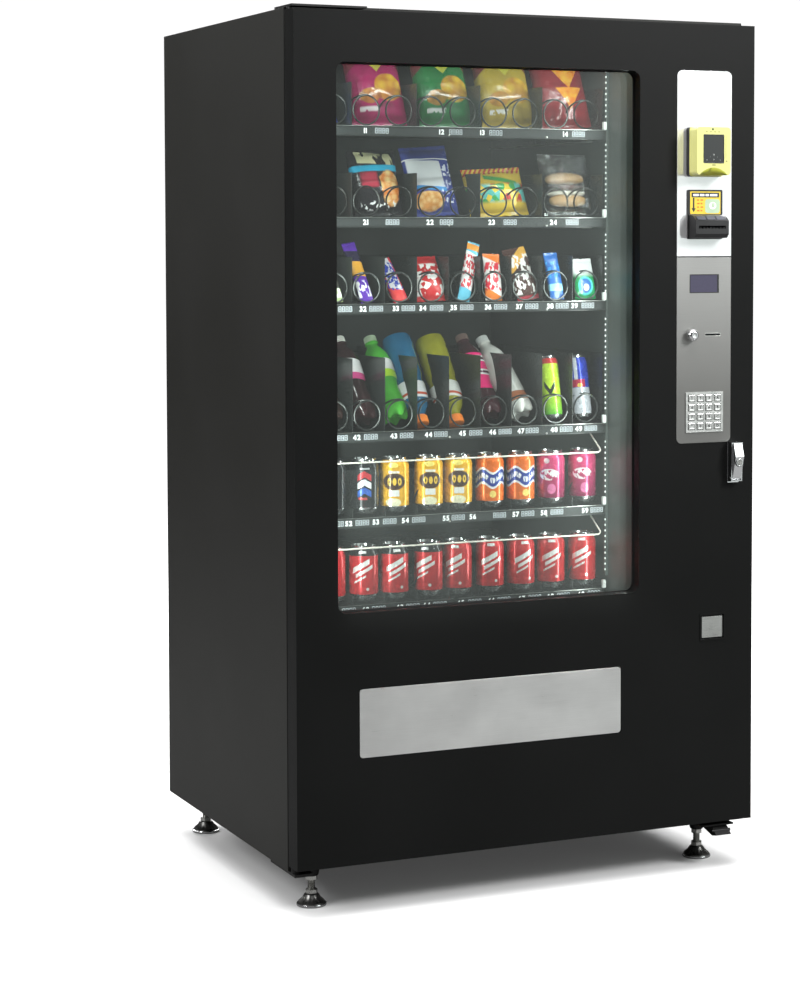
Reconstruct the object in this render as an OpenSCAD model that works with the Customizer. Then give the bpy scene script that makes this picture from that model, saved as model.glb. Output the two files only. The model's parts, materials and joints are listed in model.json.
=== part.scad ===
// Glass-front snack vending machine: cabinet, full-height door and six product trays.
// Millimetres, +Z up, ground at Z = 0, front towards -Y, door hinged on the left.
// Modules draw in the door frame: u from the door's left edge, y back from the
// door's front face, v up from the door's bottom edge.

/* [Cabinet] */
// Width of the cabinet and of the door
body_w = 1126; // [1120:1:1140]
// Depth of the cabinet behind the door seam
cab_d = 822; // [816:1:860]
// Height from the ground to the underside of the cabinet
foot_h = 97; // [92:1:105]
// Sheet thickness of the cabinet shell
sheet_t = 2; // [1:0.5:3]
// Height of the lip along the top front edge
lip_h = 6; // [3:1:10]

/* [Door] */
// Height of the door
door_h = 1830; // [1826:1:1850]
// Thickness of the door
door_t = 53; // [51:1:56]
// Gap between the door and the cabinet
seam = 5; // [5:0.5:7]
// Radius of the hinge pins
hinge_r = 5; // [4:0.5:5]
// Radial clearance of every pin and shaft
fit = 0.05; // [0.03:0.01:0.08]

/* [Window] */
// Left edge of the window opening
win_u = 96; // [92:1:100]
// Bottom edge of the window opening
win_v = 546; // [540:1:550]
// Width of the window opening
win_w = 732; // [724:1:736]
// Height of the window opening
win_h = 1174.5; // [1170:0.5:1178]
// Corner radius of the window opening
win_r = 20; // [12:1:26]
// Depth of the glass behind the door's front face
glass_y = 28; // [22:1:30]

/* [Control panel] */
// Left edge of the control panel
panel_u = 923; // [921:1:925]
// Width of the control panel
panel_w = 142; // [140:1:146]
// Bottom edge of the control panel
panel_v = 880; // [878:1:884]
// Height of the control panel
panel_h = 844.7; // [842:0.1:848]
// Height of the split between the two fascias
split_v = 1304; // [1302:1:1306]
// Corner radius of the control panel
panel_r = 13; // [8:1:18]
// Travel of a key
key_travel = 1.2; // [0.8:0.1:1.4]

/* [Delivery flap] */
// Left edge of the flap
flap_u = 145; // [144:1:150]
// Width of the flap
flap_w = 636.6; // [630:0.2:637]
// Bottom edge of the flap
flap_v = 231; // [229:1:234]
// Height of the flap
flap_h = 149; // [147:1:150]

/* [Trays] */
// Distance between neighbouring columns
col_pitch = 78.5; // [78:0.1:78.6]
// Height of each tray's floor, top tray first
tray_v = [1595, 1393, 1201, 916, 725, 530];
// Height of each tray's dividers, top tray first
div_h = [97, 100, 105, 165, 22, 22];
// Outer radius of the product spirals
coil_r = 35; // [30:0.5:36]
// Depth of the first turn of a snack spiral, which lies in front of the goods
coil_front = 16; // [14:1:60]
// Radius of the spiral wire
wire_r = 2; // [1.5:0.1:2.5]

/* [Hidden] */
$fn = 48;

W = body_w;
H = door_h;
cy0 = door_t + seam;            // cabinet front
cy1 = cy0 + cab_d;              // cabinet back
cz0 = -12;                      // cabinet underside
cz1 = H + 5;                    // cabinet top
proud = 48;                     // card reader stands this far out of the door
hinge_u = 10;
hinge_y = door_t - 11;
ox = -W / 2;
oy = -(cy1 + proud) / 2 + proud;
oz = foot_h - cz0;

// Product compartment
liner_l = 45;
liner_r = 850;
liner_back = cy1 - 60;
liner_floor = 455;
liner_top = 1790;
liner_t = 3;
chute_y = 200;                  // front of the floor and of the wall below it

// Trays
tray_u0 = 48;
tray_u1 = 842;
tray_y0 = 190;
tray_y1 = 792;
motor_y = 745;
col_u0 = 93.5;
function col_u(i) = col_u0 + i * col_pitch;
coil_turns = 5;
coil_y0 = 199;
coil_y1 = 735;
mean_r = coil_r - wire_r;

// Control parts
key_u0 = panel_u + 23.3;
key_v0 = panel_v + 24.5;
keypad_w = 97.9;
keypad_h = 91.9;
key_du = 22.6;
key_dv = 21.2;
slot_v = 1126.5;
val_u = 949;
val_v = 1344;
val_w = 90;
val_h = 112;
rd_u = 947;
rd_v = 1488;
rd_w = 88;
rd_h = 108;
cup_u = 992;
cup_v = 428;
cup_w = 58;
cup_h = 54;
lk_u = 1057;
lk_v = 787;
lk_w = 29;
lk_h = 94;
flap_py = 9;                    // flap pivot
flap_pv = flap_v + flap_h - 6;
cup_py = 6;                     // cup flap pivot
cup_pv = cup_v + cup_h - 4.5;
bar_py = 255;                   // can bar pivot, behind the door
bar_y = 168;
bar_drop = 57;
run_y = 272;                    // front end of the runners, behind the can bars
lh_py = -15;                    // lock handle pivot
lh_pv = lk_v + 12;

module frame() { translate([ox, oy, oz]) children(); }
module bx(x0, x1, y0, y1, z0, z1) { translate([x0, y0, z0]) cube([x1 - x0, y1 - y0, z1 - z0]); }
// A rod along X, Y or Z
module rx(x0, x1, y, z, r) { translate([x0, y, z]) rotate([0, 90, 0]) cylinder(h = x1 - x0, r = r); }
module ry(x, y0, y1, z, r) { translate([x, y0, z]) rotate([-90, 0, 0]) cylinder(h = y1 - y0, r = r); }
module rz(x, y, z0, z1, r) { translate([x, y, z0]) cylinder(h = z1 - z0, r = r); }

// Outline of a rectangle with a radius at each corner: rb at the bottom, rt at the top
function arc(cx, cz, r, a0, n) = [for (i = [0:n]) [cx + r * cos(a0 + 90 * i / n), cz + r * sin(a0 + 90 * i / n)]];
function rr(w, h, rb, rt, n = 8) = concat(
  rt > 0 ? arc(w - rt, h - rt, rt, 0, n) : [[w, h]],
  rt > 0 ? arc(rt, h - rt, rt, 90, n) : [[0, h]],
  rb > 0 ? arc(rb, rb, rb, 180, n) : [[0, 0]],
  rb > 0 ? arc(w - rb, rb, rb, 270, n) : [[w, 0]]);
// A plate in the door's plane
module plate(u, v, w, h, r, y0, y1, rt = -1) {
  translate([u, y1, v]) rotate([90, 0, 0]) linear_extrude(y1 - y0) polygon(rr(w, h, r, rt < 0 ? r : rt));
}
// A profile in the YZ plane extruded along X
module side(x0, x1, pts) { translate([x0, 0, 0]) rotate([90, 0, 90]) linear_extrude(x1 - x0) polygon(pts); }
module hexz(x, y, z0, z1, af) { translate([x, y, z0]) cylinder(h = z1 - z0, r = af / sqrt(3), $fn = 6); }

// Wire swept along points: a closed tube with n sides
function unit(a) = a / norm(a);
function tangent(p, i) = unit(p[min(i + 1, len(p) - 1)] - p[max(i - 1, 0)]);
module wire(p, r, n = 3) {
  k = len(p);
  pts = [for (i = [0:k - 1]) let (t = tangent(p, i), a = unit(cross(t, [0, 1, 0])), b = cross(t, a))
    for (j = [0:n - 1]) p[i] + r * (a * cos(360 * j / n) + b * sin(360 * j / n))];
  polyhedron(points = pts, faces = concat(
    [[for (j = [0:n - 1]) j]],
    [for (i = [0:k - 2]) for (j = [0:n - 1]) let (q = (j + 1) % n) [i * n + q, i * n + j, (i + 1) * n + q]],
    [for (i = [0:k - 2]) for (j = [0:n - 1]) let (q = (j + 1) % n) [(i + 1) * n + q, i * n + j, (i + 1) * n + j]],
    [[for (j = [n - 1:-1:0]) (k - 1) * n + j]]));
}
// Spiral path: a front turn of its own depth, even turns, then a radial arm in to the axis
function coil_depth(t, front) = t < 1 ? front * t : front + (coil_y1 - coil_y0 - front) * (t - 1) / (coil_turns - 1);
function coil_path(turns, front, seg = 6) = let (n = turns * seg) concat(
  [for (i = [0:n]) [mean_r * cos(90 + 360 * i / seg), coil_y0 + coil_depth(i / seg, front), mean_r * sin(90 + 360 * i / seg)]],
  [[mean_r * 0.45 * cos(120), coil_y1 + 3, mean_r * 0.45 * sin(120)], [0, coil_y1 + 4, 0]]);
module coil(i, v, front) {
  translate([col_u(i), 0, v + coil_r + 2]) wire(coil_path(coil_turns, front), wire_r * 1.25);
}

module cabinet_shell() {
  color([0.17, 0.17, 0.16]) frame() difference() {
    union() {
      bx(0, W, cy0, cy1, cz0, cz1);
      bx(178, W, cy0, cy0 + 17, cz1 - 1, cz1 + lip_h);
    }
    bx(sheet_t, W - sheet_t, cy0 + sheet_t, cy1 - sheet_t, cz0 + sheet_t, cz1 - sheet_t);
    // front opening inside a narrow flange
    bx(27, W - 27, cy0 - 1, cy0 + sheet_t + 1, cz0 + 26, cz1 - 26);
    // air slots in the back
    for (k = [0:8]) bx(180, 760, cy1 - sheet_t - 1, cy1 + 1, 40 + 34 * k, 52 + 34 * k);
  }
}

module inner_liner() {
  y0 = cy0 + sheet_t;
  y1 = cy1 - sheet_t;
  x1 = liner_r + 30;
  t = liner_t;
  color([0.36, 0.39, 0.37]) frame() difference() {
    union() {
      // front flange, product compartment, wall beside the electronics bay
      bx(sheet_t, x1, y0, y0 + t, liner_floor - 25, cz1 - sheet_t);
      bx(liner_l - t, liner_r + t, y0, liner_back + t, liner_floor - t, liner_top + t);
      bx(x1 - t, x1, y0, y1, liner_floor - 25, cz1 - sheet_t);
      // wall in front of the cooling bay, and the cheeks beside the delivery bin
      bx(sheet_t, x1, chute_y, chute_y + t, cz0 + sheet_t, liner_floor - 1);
      for (x = [liner_l - t, liner_r]) bx(x, x + t, y0, chute_y + 1, 60, liner_floor - 1);
      bx(sheet_t, liner_l - 1, y0, y0 + t, 60, liner_floor - 24);
      bx(liner_r + 1, x1, y0, y0 + t, 60, liner_floor - 24);
    }
    bx(liner_l, liner_r, y0 - 1, liner_back, liner_floor, liner_top);
    bx(liner_l, liner_r, y0 - 1, chute_y, 30, liner_floor + 1);
  }
}

module tray_runners() {
  color([0.55, 0.56, 0.55]) frame() for (v = tray_v) {
    union() { bx(liner_l, liner_l + 2, run_y, 780, v - 24, v - 4); bx(liner_l, liner_l + 22, run_y, 780, v - 24, v - 22.3); }
    union() { bx(liner_r - 2, liner_r, run_y, 780, v - 24, v - 4); bx(liner_r - 26, liner_r, run_y, 780, v - 24, v - 22.3); }
  }
}

module led_strips() {
  color([0.9, 0.92, 0.9]) frame() {
    bx(liner_r - 6.5, liner_r, 190, 201, 560, 1760);
    bx(liner_l, liner_l + 2.5, 176, 186, 560, 1760);
  }
}

module top_hinge_plate() {
  color([0.12, 0.12, 0.12]) frame() {
    bx(2, 174, 16, 118, cz1, cz1 + 5);
    rz(hinge_u, hinge_y, H - 24, cz1 + 0.5, hinge_r);
    rz(hinge_u, hinge_y, H + 0.6, cz1 + 0.5, hinge_r + 3.5);
    for (x = [40, 95, 150]) hexz(x, 96, cz1 + 4.5, cz1 + 9, 13);
  }
}

module bottom_hinge_bracket() {
  color([0.08, 0.08, 0.08]) frame() {
    bx(2, 44, 20, 170, cz0 - 6, cz0);
    rz(hinge_u + 2, hinge_y, cz0 - 1, -4, 9.5);
    rz(hinge_u, hinge_y, cz0 - 1, 24, hinge_r);
    rz(hinge_u, hinge_y, cz0 - 1, -0.5, hinge_r + 3);
    for (y = [100, 145]) hexz(26, y, cz0 - 11, cz0 - 5.5, 13);
  }
}

module door_ramp() {
  color([0.07, 0.07, 0.07]) frame() {
    bx(1010, 1092, 22, 84, cz0 - 4, cz0);
    side(1036, 1076, [[4, cz0 - 22], [24, cz0 - 26], [66, cz0 - 15], [66, cz0 - 3.5], [26, cz0 - 3.5]]);
    rx(1032, 1080, 18, cz0 - 14, 3.5);
  }
}

foot_xy = [[77, 117], [W - 77, 117], [77, cy1 - 48], [W - 77, cy1 - 48]];

module foot_sockets() {
  color([0.1, 0.1, 0.1]) frame() for (p = foot_xy) translate([p[0], p[1], 0]) difference() {
    rotate_extrude() polygon([[0, cz0 - 30], [15, cz0 - 30], [16, cz0 - 27], [19, cz0 - 14], [27, cz0 - 5], [29, cz0], [0, cz0]]);
    translate([0, 0, cz0 - 31]) cylinder(h = 30, r = 8 + fit);
  }
}

module leveling_feet() {
  g = -oz;
  color([0.7, 0.7, 0.7]) frame() for (p = foot_xy) translate([p[0], p[1], 0]) {
    // pad, stud and the two lock nuts
    rotate_extrude() polygon([[0, g], [33, g], [33, g + 5], [31, g + 8], [19, g + 17], [15, g + 25], [8, g + 26],
      [8, cz0 - 3], [0, cz0 - 3]]);
    translate([0, 0, g + 26.3]) difference() {
      cylinder(h = 10, r = 24 / sqrt(3), $fn = 6);
      translate([0, 0, -1]) cylinder(h = 12, r = 8.02);
    }
    translate([0, 0, cz0 - 41]) difference() {
      cylinder(h = 10.6, r = 24 / sqrt(3), $fn = 6);
      translate([0, 0, -1]) cylinder(h = 13, r = 8.02);
    }
  }
}

module cooling_unit() {
  z = cz0 + sheet_t;
  color([0.2, 0.2, 0.21]) frame() {
    bx(70, 820, 250, 840, z, z + 4);
    // compressor
    translate([230, 560, z + 3.5]) rotate_extrude() polygon([[0, 0], [60, 0], [72, 16], [78, 40], [78, 120], [66, 152], [36, 170], [0, 174]]);
    // condenser frame and fins
    for (x = [420, 780]) bx(x, x + 4, 300, 360, z + 3.5, z + 330);
    bx(420, 784, 300, 360, z + 326, z + 330);
    for (k = [0:13]) bx(434 + 25 * k, 435.5 + 25 * k, 302, 358, z + 3.5, z + 326.5);
    // fan ring, spider and blades
    difference() {
      bx(440, 764, 362, 400, z + 3.5, z + 326);
      ry(602, 361, 401, z + 165, 146);
    }
    ry(602, 366, 398, z + 165, 34);
    for (a = [0:72:288]) translate([602, 374, z + 165]) rotate([0, a, 0]) bx(30, 134, -2, 8, -16, 16);
    bx(602 - 150, 602 + 150, 393, 397, z + 160, z + 170);
  }
}

module control_box() {
  color([0.75, 0.76, 0.74]) frame() {
    x = liner_r + 30;
    // outer plate, floor, lid, front and back, each 0.2 clear of the next
    bx(x + 70, x + 72, 260, 640, 900, 1400);
    for (z = [900, 1398]) bx(x, x + 69.8, 260, 640, z, z + 2);
    bx(x, x + 69.8, 260, 262, 902.2, 1397.8);
    bx(x, x + 69.8, 638, 640, 902.2, 1397.8);
    bx(x + 4, x + 60, 300, 600, 1400.2, 1406);
    for (k = [0:5]) bx(x + 14, x + 58, 256, 259.8, 940 + 70 * k, 980 + 70 * k);
  }
}

module door_shell() {
  color([0.13, 0.13, 0.125]) frame() {
    difference() {
      bx(0, W, 0, door_t, 0, H);
      plate(win_u, win_v, win_w, win_h, win_r, -1, door_t + 1);
      plate(win_u - 12, win_v - 12, win_w + 24, win_h + 24, win_r + 8, glass_y, door_t + 1);
      bx(870, W - 2, 2, door_t + 1, 30, H - 20);
      bx(2, win_u - 16, 2, door_t + 1, 30, H - 30);
      bx(100, 850, 2, door_t + 1, win_v + win_h + 17, H - 20);
      bx(100, 850, 2, door_t + 1, 30, win_v - 41);
      plate(flap_u - 2, flap_v - 2, flap_w + 4, flap_h + 4, 10, -1, 3);
      plate(panel_u + 4, panel_v + 4, panel_w - 8, panel_h - 8, panel_r - 5, -1, 3);
      bx(cup_u - 3, cup_u + cup_w + 3, -1, 3, cup_v - 3, cup_v + cup_h + 3);
      ry(lk_u + lk_w / 2, -1, 3, lk_v + lk_h / 2, 10.1);
      rz(hinge_u, hinge_y, -1, 26, hinge_r + fit);
      rz(hinge_u, hinge_y, H - 26, H + 1, hinge_r + fit);
    }
    // flap hinge lugs
    for (x = [flap_u - 13, flap_u + flap_w + 3]) difference() {
      bx(x, x + 10, 2, flap_py + 7, flap_pv - 8, flap_pv + 8);
      rx(x - 1, x + 11, flap_py, flap_pv, 3 + fit);
    }
  }
}

module window_glass() {
  color([0.6, 0.72, 0.7, 0.3]) frame()
    plate(win_u - 8, win_v - 8, win_w + 16, win_h + 16, win_r + 4, glass_y + 3, glass_y + 17);
}

module window_gasket() {
  color([0.04, 0.04, 0.04]) frame() {
    difference() {
      plate(win_u - 12, win_v - 12, win_w + 24, win_h + 24, win_r + 8, glass_y, glass_y + 19);
      plate(win_u - 8, win_v - 8, win_w + 16, win_h + 16, win_r + 4, glass_y + 3, glass_y + 20);
      plate(win_u + 3, win_v + 3, win_w - 6, win_h - 6, win_r - 2, glass_y - 1, glass_y + 4);
    }
  }
}

module upper_fascia() {
  color([0.9, 0.9, 0.9]) frame() difference() {
    plate(panel_u, split_v + 1.2, panel_w, panel_v + panel_h - split_v - 1.2, 0, -1.5, 0, panel_r);
    bx(val_u + 4, val_u + val_w - 4, -2, 1, val_v + 2, val_v + val_h - 2);
    bx(rd_u + 22, rd_u + rd_w - 22, -2, 1, rd_v + 22, rd_v + rd_h - 22);
  }
}

module lower_fascia() {
  color([0.55, 0.55, 0.52]) frame() difference() {
    plate(panel_u, panel_v, panel_w, split_v - 1.2 - panel_v, panel_r, -1.5, 0, 0);
    bx(panel_u + 34, panel_u + 109, -2, 1, 1222.5, 1263.5);
    ry(959, -2, 1, slot_v, 5 + fit);
    bx(998, 1036.6, -2, 1, slot_v - 1.9, slot_v + 1.9);
    bx(key_u0 + 2.5, key_u0 + keypad_w - 2.5, -2, 1, key_v0 + 2.5, key_v0 + keypad_h - 2.5);
  }
}

module display() {
  color([0.3, 0.3, 0.55]) frame() {
    bx(panel_u + 34.4, panel_u + 108.6, -1.2, 0.2, 1222.9, 1263.1);
    bx(panel_u + 28, panel_u + 115, 0.1, 11, 1216, 1270);
  }
}

module keypad_plate() {
  color([0.78, 0.79, 0.76]) frame() difference() {
    union() {
      plate(key_u0, key_v0, keypad_w, keypad_h, 1.5, -3.5, -1.5);
      bx(key_u0 + 2.8, key_u0 + keypad_w - 2.8, -1.6, 3, key_v0 + 2.8, key_v0 + keypad_h - 2.8);
    }
    for (c = [0:3]) for (r = [0:3]) translate([key_u0 + 15.1 + key_du * c, 0, key_v0 + keypad_h - 14.2 - key_dv * r])
      bx(-8.8, 8.8, -5, 4, -7.8, 7.8);
  }
}

module key(i) {
  c = i % 4;
  r = floor(i / 4);
  color([0.85, 0.86, 0.83]) frame() translate([key_u0 + 15.1 + key_du * c, 0, key_v0 + keypad_h - 14.2 - key_dv * r]) {
    plate(-8.5, -7.5, 17, 15, 1.2, -5.2, 3.4);
    bx(-9.6, 9.6, 3.3, 4.8, -8.6, 8.6);
  }
}

module card_reader() {
  color([0.9, 0.92, 0.35]) frame() difference() {
    union() {
      plate(rd_u, rd_v, rd_w, rd_h, 9, -proud, -14.5);
      plate(rd_u - 0.5, rd_v - 2.5, rd_w + 1, rd_h + 3.5, 7, -15, -1.5);
      bx(rd_u + 23, rd_u + rd_w - 23, -2, 30, rd_v + 23, rd_v + rd_h - 23);
    }
    // screen recess, card slot and the scoop below it
    plate(rd_u + 17.5, rd_v + 27.5, 52, 63, 3, -proud - 1, -proud + 4);
    bx(rd_u + 30, rd_u + rd_w + 1, -proud + 12, -proud + 17, rd_v + 46, rd_v + 102);
    translate([rd_u + 43, -proud, rd_v + 17]) rotate([-50, 0, 0]) translate([0, -30, -70]) rotate([-90, 0, 0]) cylinder(h = 56, r = 70);
  }
}

module bill_validator() {
  color([0.06, 0.06, 0.06]) frame() difference() {
    union() {
      plate(val_u, val_v, val_w, val_h, 3, -6, -1.5);
      bx(val_u + 5, val_u + val_w - 5, -2, 150, val_v + 3, val_v + val_h - 3);
      // snout: sloping top, blunt front
      side(val_u + 2, val_u + val_w - 2, [[-5, val_v + 56], [-24, val_v + 53], [-38, val_v + 42], [-38, val_v + 12], [-30, val_v + 3], [-5, val_v + 2]]);
    }
    bx(val_u + 10, val_u + val_w - 10, -40, 40, val_v + 24, val_v + 30.5);
  }
}

module coin_mech() {
  color([0.25, 0.26, 0.3]) frame() {
    difference() {
      union() {
        bx(905, 1072, 14, 148, 1010, 1200);
        // ears that screw to the back of the door skin
        bx(905, 919, 2, 15, 1020, 1190);
        bx(1064, 1072, 2, 15, 1020, 1190);
      }
      bx(944, 1050, 13, 60, 1100, 1150);
    }
    // chute down to the cup: four strips
    c0 = cup_v + cup_h + 3.3;
    bx(1000, 1040, 16, 18, c0, 1009.7);
    bx(1000, 1040, 40, 42, c0, 1009.7);
    for (x = [1000, 1038]) bx(x, x + 2, 18.2, 39.8, c0, 1009.7);
  }
}

module coin_cup() {
  color([0.6, 0.6, 0.58]) frame() difference() {
    union() {
      bx(cup_u - 3, cup_u + cup_w + 3, 0, 46, cup_v - 3, cup_v + cup_h + 3);
      plate(cup_u - 5, cup_v - 5, cup_w + 10, cup_h + 10, 3, -1.4, 0);
    }
    bx(cup_u, cup_u + cup_w, -2, 44, cup_v, cup_v + cup_h);
    bx(1006, 1034, 18, 38, cup_v + cup_h - 1, cup_v + cup_h + 4);
    rx(cup_u - 2.6, cup_u + cup_w + 2.6, cup_py, cup_pv, 1.5 + fit);
  }
}

module coin_flap() {
  color([0.65, 0.65, 0.63]) frame() {
    bx(cup_u + 0.8, cup_u + cup_w - 0.8, 2.5, 4, cup_v + 2, cup_pv + 1);
    bx(cup_u + 0.8, cup_u + cup_w - 0.8, 3.5, 12, cup_v + 2, cup_v + 3.5);
    rx(cup_u + 0.8, cup_u + cup_w - 0.8, cup_py, cup_pv, 3);
    rx(cup_u - 2.3, cup_u + cup_w + 2.3, cup_py, cup_pv, 1.5);
  }
}

module coin_return_knob() {
  color([0.85, 0.85, 0.86]) frame() translate([959, 0, slot_v]) rotate([-90, 0, 0]) {
    rotate_extrude() polygon([[0, -22], [6, -21.4], [10, -19.6], [13, -16.2], [14, -12.5], [14, -8.6], [5, -8.6], [5, 0.4], [7.5, 0.4], [7.5, 2.2], [4, 2.2], [4, 9], [0, 9]]);
  }
}

module lock_housing() {
  color([0.8, 0.8, 0.82]) frame() difference() {
    union() {
      plate(lk_u - 1, lk_v - 1, lk_w + 2, lk_h, 3, -4, 0);
      side(lk_u, lk_u + lk_w, [[-3.5, lk_v + 1], [-20, lk_v + 3], [-22, lk_v + lk_h - 2], [-3.5, lk_v + lk_h - 1]]);
      ry(lk_u + lk_w / 2, -1, 44, lk_v + lk_h / 2, 10);
    }
    // handle recess and its hinge pin holes
    bx(lk_u + 3, lk_u + lk_w - 3, -40, -6, lh_pv, lk_v + lk_h - 4);
    bx(lk_u + 3, lk_u + lk_w - 3, -40, lh_py, lh_pv - 6.5, lh_pv + 1);
    rx(lk_u + 3, lk_u + lk_w - 3, lh_py, lh_pv, 6.5);
    rx(lk_u - 1, lk_u + lk_w + 1, lh_py, lh_pv, 2 + fit);
  }
}

module lock_handle() {
  color([0.85, 0.85, 0.86]) frame() difference() {
    union() {
      side(lk_u + 3.5, lk_u + lk_w - 3.5, [[-9.2, lh_pv], [-20.9, lh_pv], [-34, lk_v + 60], [-25, lk_v + 89.5], [-8.5, lk_v + 89.5], [-8.5, lh_pv + 6]]);
      rx(lk_u + 3.5, lk_u + lk_w - 3.5, lh_py, lh_pv, 6);
      rx(lk_u + 0.4, lk_u + lk_w - 0.4, lh_py, lh_pv, 2);
    }
    translate([lk_u + lk_w / 2, -40, lk_v + 47]) rotate([-90, 0, 0]) cylinder(h = 28, r = 6.5 + fit);
  }
}

module lock_plug() {
  color([0.7, 0.7, 0.72]) frame() difference() {
    translate([lk_u + lk_w / 2, -33.6, lk_v + 47]) rotate([-90, 0, 0]) cylinder(h = 21, r = 6.5);
    translate([lk_u + lk_w / 2, 0, lk_v + 47]) bx(-0.8, 0.8, -35, -22, -4, 4);
  }
}

module delivery_bin() {
  color([0.1, 0.1, 0.1]) frame() difference() {
    bx(112, 816, 2, 188, 195, 440);
    bx(114, 814, 1, 186, 197, 441);
  }
}

module delivery_flap() {
  color([0.72, 0.73, 0.71]) frame() {
    plate(flap_u, flap_v, flap_w, flap_h, 8, 0.5, 2.5);
    bx(flap_u + 9, flap_u + flap_w - 9, 2.4, 14, flap_v, flap_v + 2);
    bx(flap_u + 9, flap_u + flap_w - 9, 2.4, flap_py, flap_pv - 3, flap_pv + 2);
    rx(flap_u + 4, flap_u + flap_w - 4, flap_py, flap_pv, 4.5);
    rx(flap_u - 12.5, flap_u + flap_w + 12.5, flap_py, flap_pv, 3);
  }
}

// Can bar: hangs from lugs under the tray above
module can_bar(v) {
  z = v - 7.5;
  color([0.75, 0.76, 0.75]) frame() {
    rx(67, 823, bar_y, z - bar_drop, 2);
    for (x = [67, 823]) {
      translate([x, bar_y, z - bar_drop]) sphere(r = 2);
      translate([x, bar_y, z - bar_drop]) rotate([-atan2(bar_py - bar_y, bar_drop), 0, 0])
        cylinder(h = norm([bar_py - bar_y, bar_drop]), r = 2);
    }
    rx(58, 69.5, bar_py, z, 2.5);
    rx(820.5, 832, bar_py, z, 2.5);
  }
}

module tray(i) {
  v = tray_v[i];
  wide = i < 2 ? 2 : 1;
  g = 0.2;  // gap between neighbouring plates
  color([0.3, 0.31, 0.31]) frame() {
    // floor
    bx(tray_u0 + 1.5 + g, tray_u1 - 1.5 - g, tray_y0 + 2 + g, tray_y1, v - 2, v);
    // front rail with its two lips
    union() {
      bx(tray_u0, tray_u1, tray_y0, tray_y0 + 2, v - 22, v + 1);
      bx(tray_u0, tray_u1, tray_y0 - 1.5, tray_y0 + 0.5, v - 1.2, v + 1);
      bx(tray_u0, tray_u1, tray_y0 - 1.5, tray_y0 + 0.5, v - 22, v - 20);
    }
    // sides
    for (x = [tray_u0, tray_u1 - 1.5]) bx(x, x + 1.5, tray_y0 + 2 + g, tray_y1, v - 22, v);
    // dividers
    for (k = [0:wide:10]) bx(col_u(k) - col_pitch / 2 - 0.75, col_u(k) - col_pitch / 2 + 0.75, tray_y0 + 8, motor_y - g, v + g, v + div_h[i]);
    // motor rail
    difference() {
      union() {
        difference() {
          bx(56, 837, motor_y, tray_y1, v + g, v + 74);
          bx(58, 835, motor_y + 2, tray_y1 + 1, v, v + 72);
        }
        for (k = [0:9]) bx(col_u(k) - 20, col_u(k) + 20, motor_y + 1, motor_y + 32, v + 14, v + 60);
      }
      for (k = [0:9]) ry(col_u(k), motor_y - 1, motor_y + 10, v + coil_r + 2, 5 + fit);
    }
    // lugs for the bar below
    if (i == 3 || i == 4) for (x = [60, 826]) difference() {
      bx(x, x + 4, bar_py - 8, bar_py + 8, v - 15, v - 2 - g);
      rx(x - 1, x + 5, bar_py, v - 7.5, 2.5 + fit);
    }
  }
}

// One spiral and the shaft that sits in its motor
module spiral(k, v, end, front = coil_front) {
  union() {
    coil(k, v, front);
    ry(col_u(k), coil_y1 + 3, end, v + coil_r + 2, 5);
  }
}

module spirals(i) {
  color(i == 2 || i == 3 ? [0.6, 0.62, 0.62] : [0.16, 0.16, 0.16]) frame()
    for (k = [(i == 2 ? 1 : 0):9]) spiral(k, tray_v[i], motor_y + 10, i < 4 ? coil_front : (coil_y1 - coil_y0) / coil_turns);
}

module spiral_30() {
  color([0.6, 0.62, 0.62]) frame() spiral(0, tray_v[2], motor_y + 9.5);
}

cabinet_shell();
inner_liner();
tray_runners();
led_strips();
top_hinge_plate();
bottom_hinge_bracket();
door_ramp();
foot_sockets();
leveling_feet();
cooling_unit();
control_box();
door_shell();
window_glass();
window_gasket();
upper_fascia();
lower_fascia();
display();
keypad_plate();
card_reader();
bill_validator();
coin_mech();
coin_cup();
lock_housing();
delivery_bin();
delivery_flap();
coin_flap();
coin_return_knob();
lock_handle();
lock_plug();
can_bar(tray_v[3]);  // can_bar_5
can_bar(tray_v[4]);  // can_bar_6
tray(0);  // tray_1
tray(1);  // tray_2
tray(2);  // tray_3
tray(3);  // tray_4
tray(4);  // tray_5
tray(5);  // tray_6
spirals(0);  // spirals_1
spirals(1);  // spirals_2
spirals(2);  // spirals_3
spirals(3);  // spirals_4
spirals(4);  // spirals_5
spirals(5);  // spirals_6
spiral_30();
key(0);  // key_1
key(1);  // key_2
key(2);  // key_3
key(3);  // key_a
key(4);  // key_4
key(5);  // key_5
key(6);  // key_6
key(7);  // key_b
key(8);  // key_7
key(9);  // key_8
key(10);  // key_9
key(11);  // key_c
key(12);  // key_star
key(13);  // key_0
key(14);  // key_hash
key(15);  // key_d
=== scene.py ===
import json
import math
import random

import bpy
import bmesh
from mathutils import Matrix, Vector, noise

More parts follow.
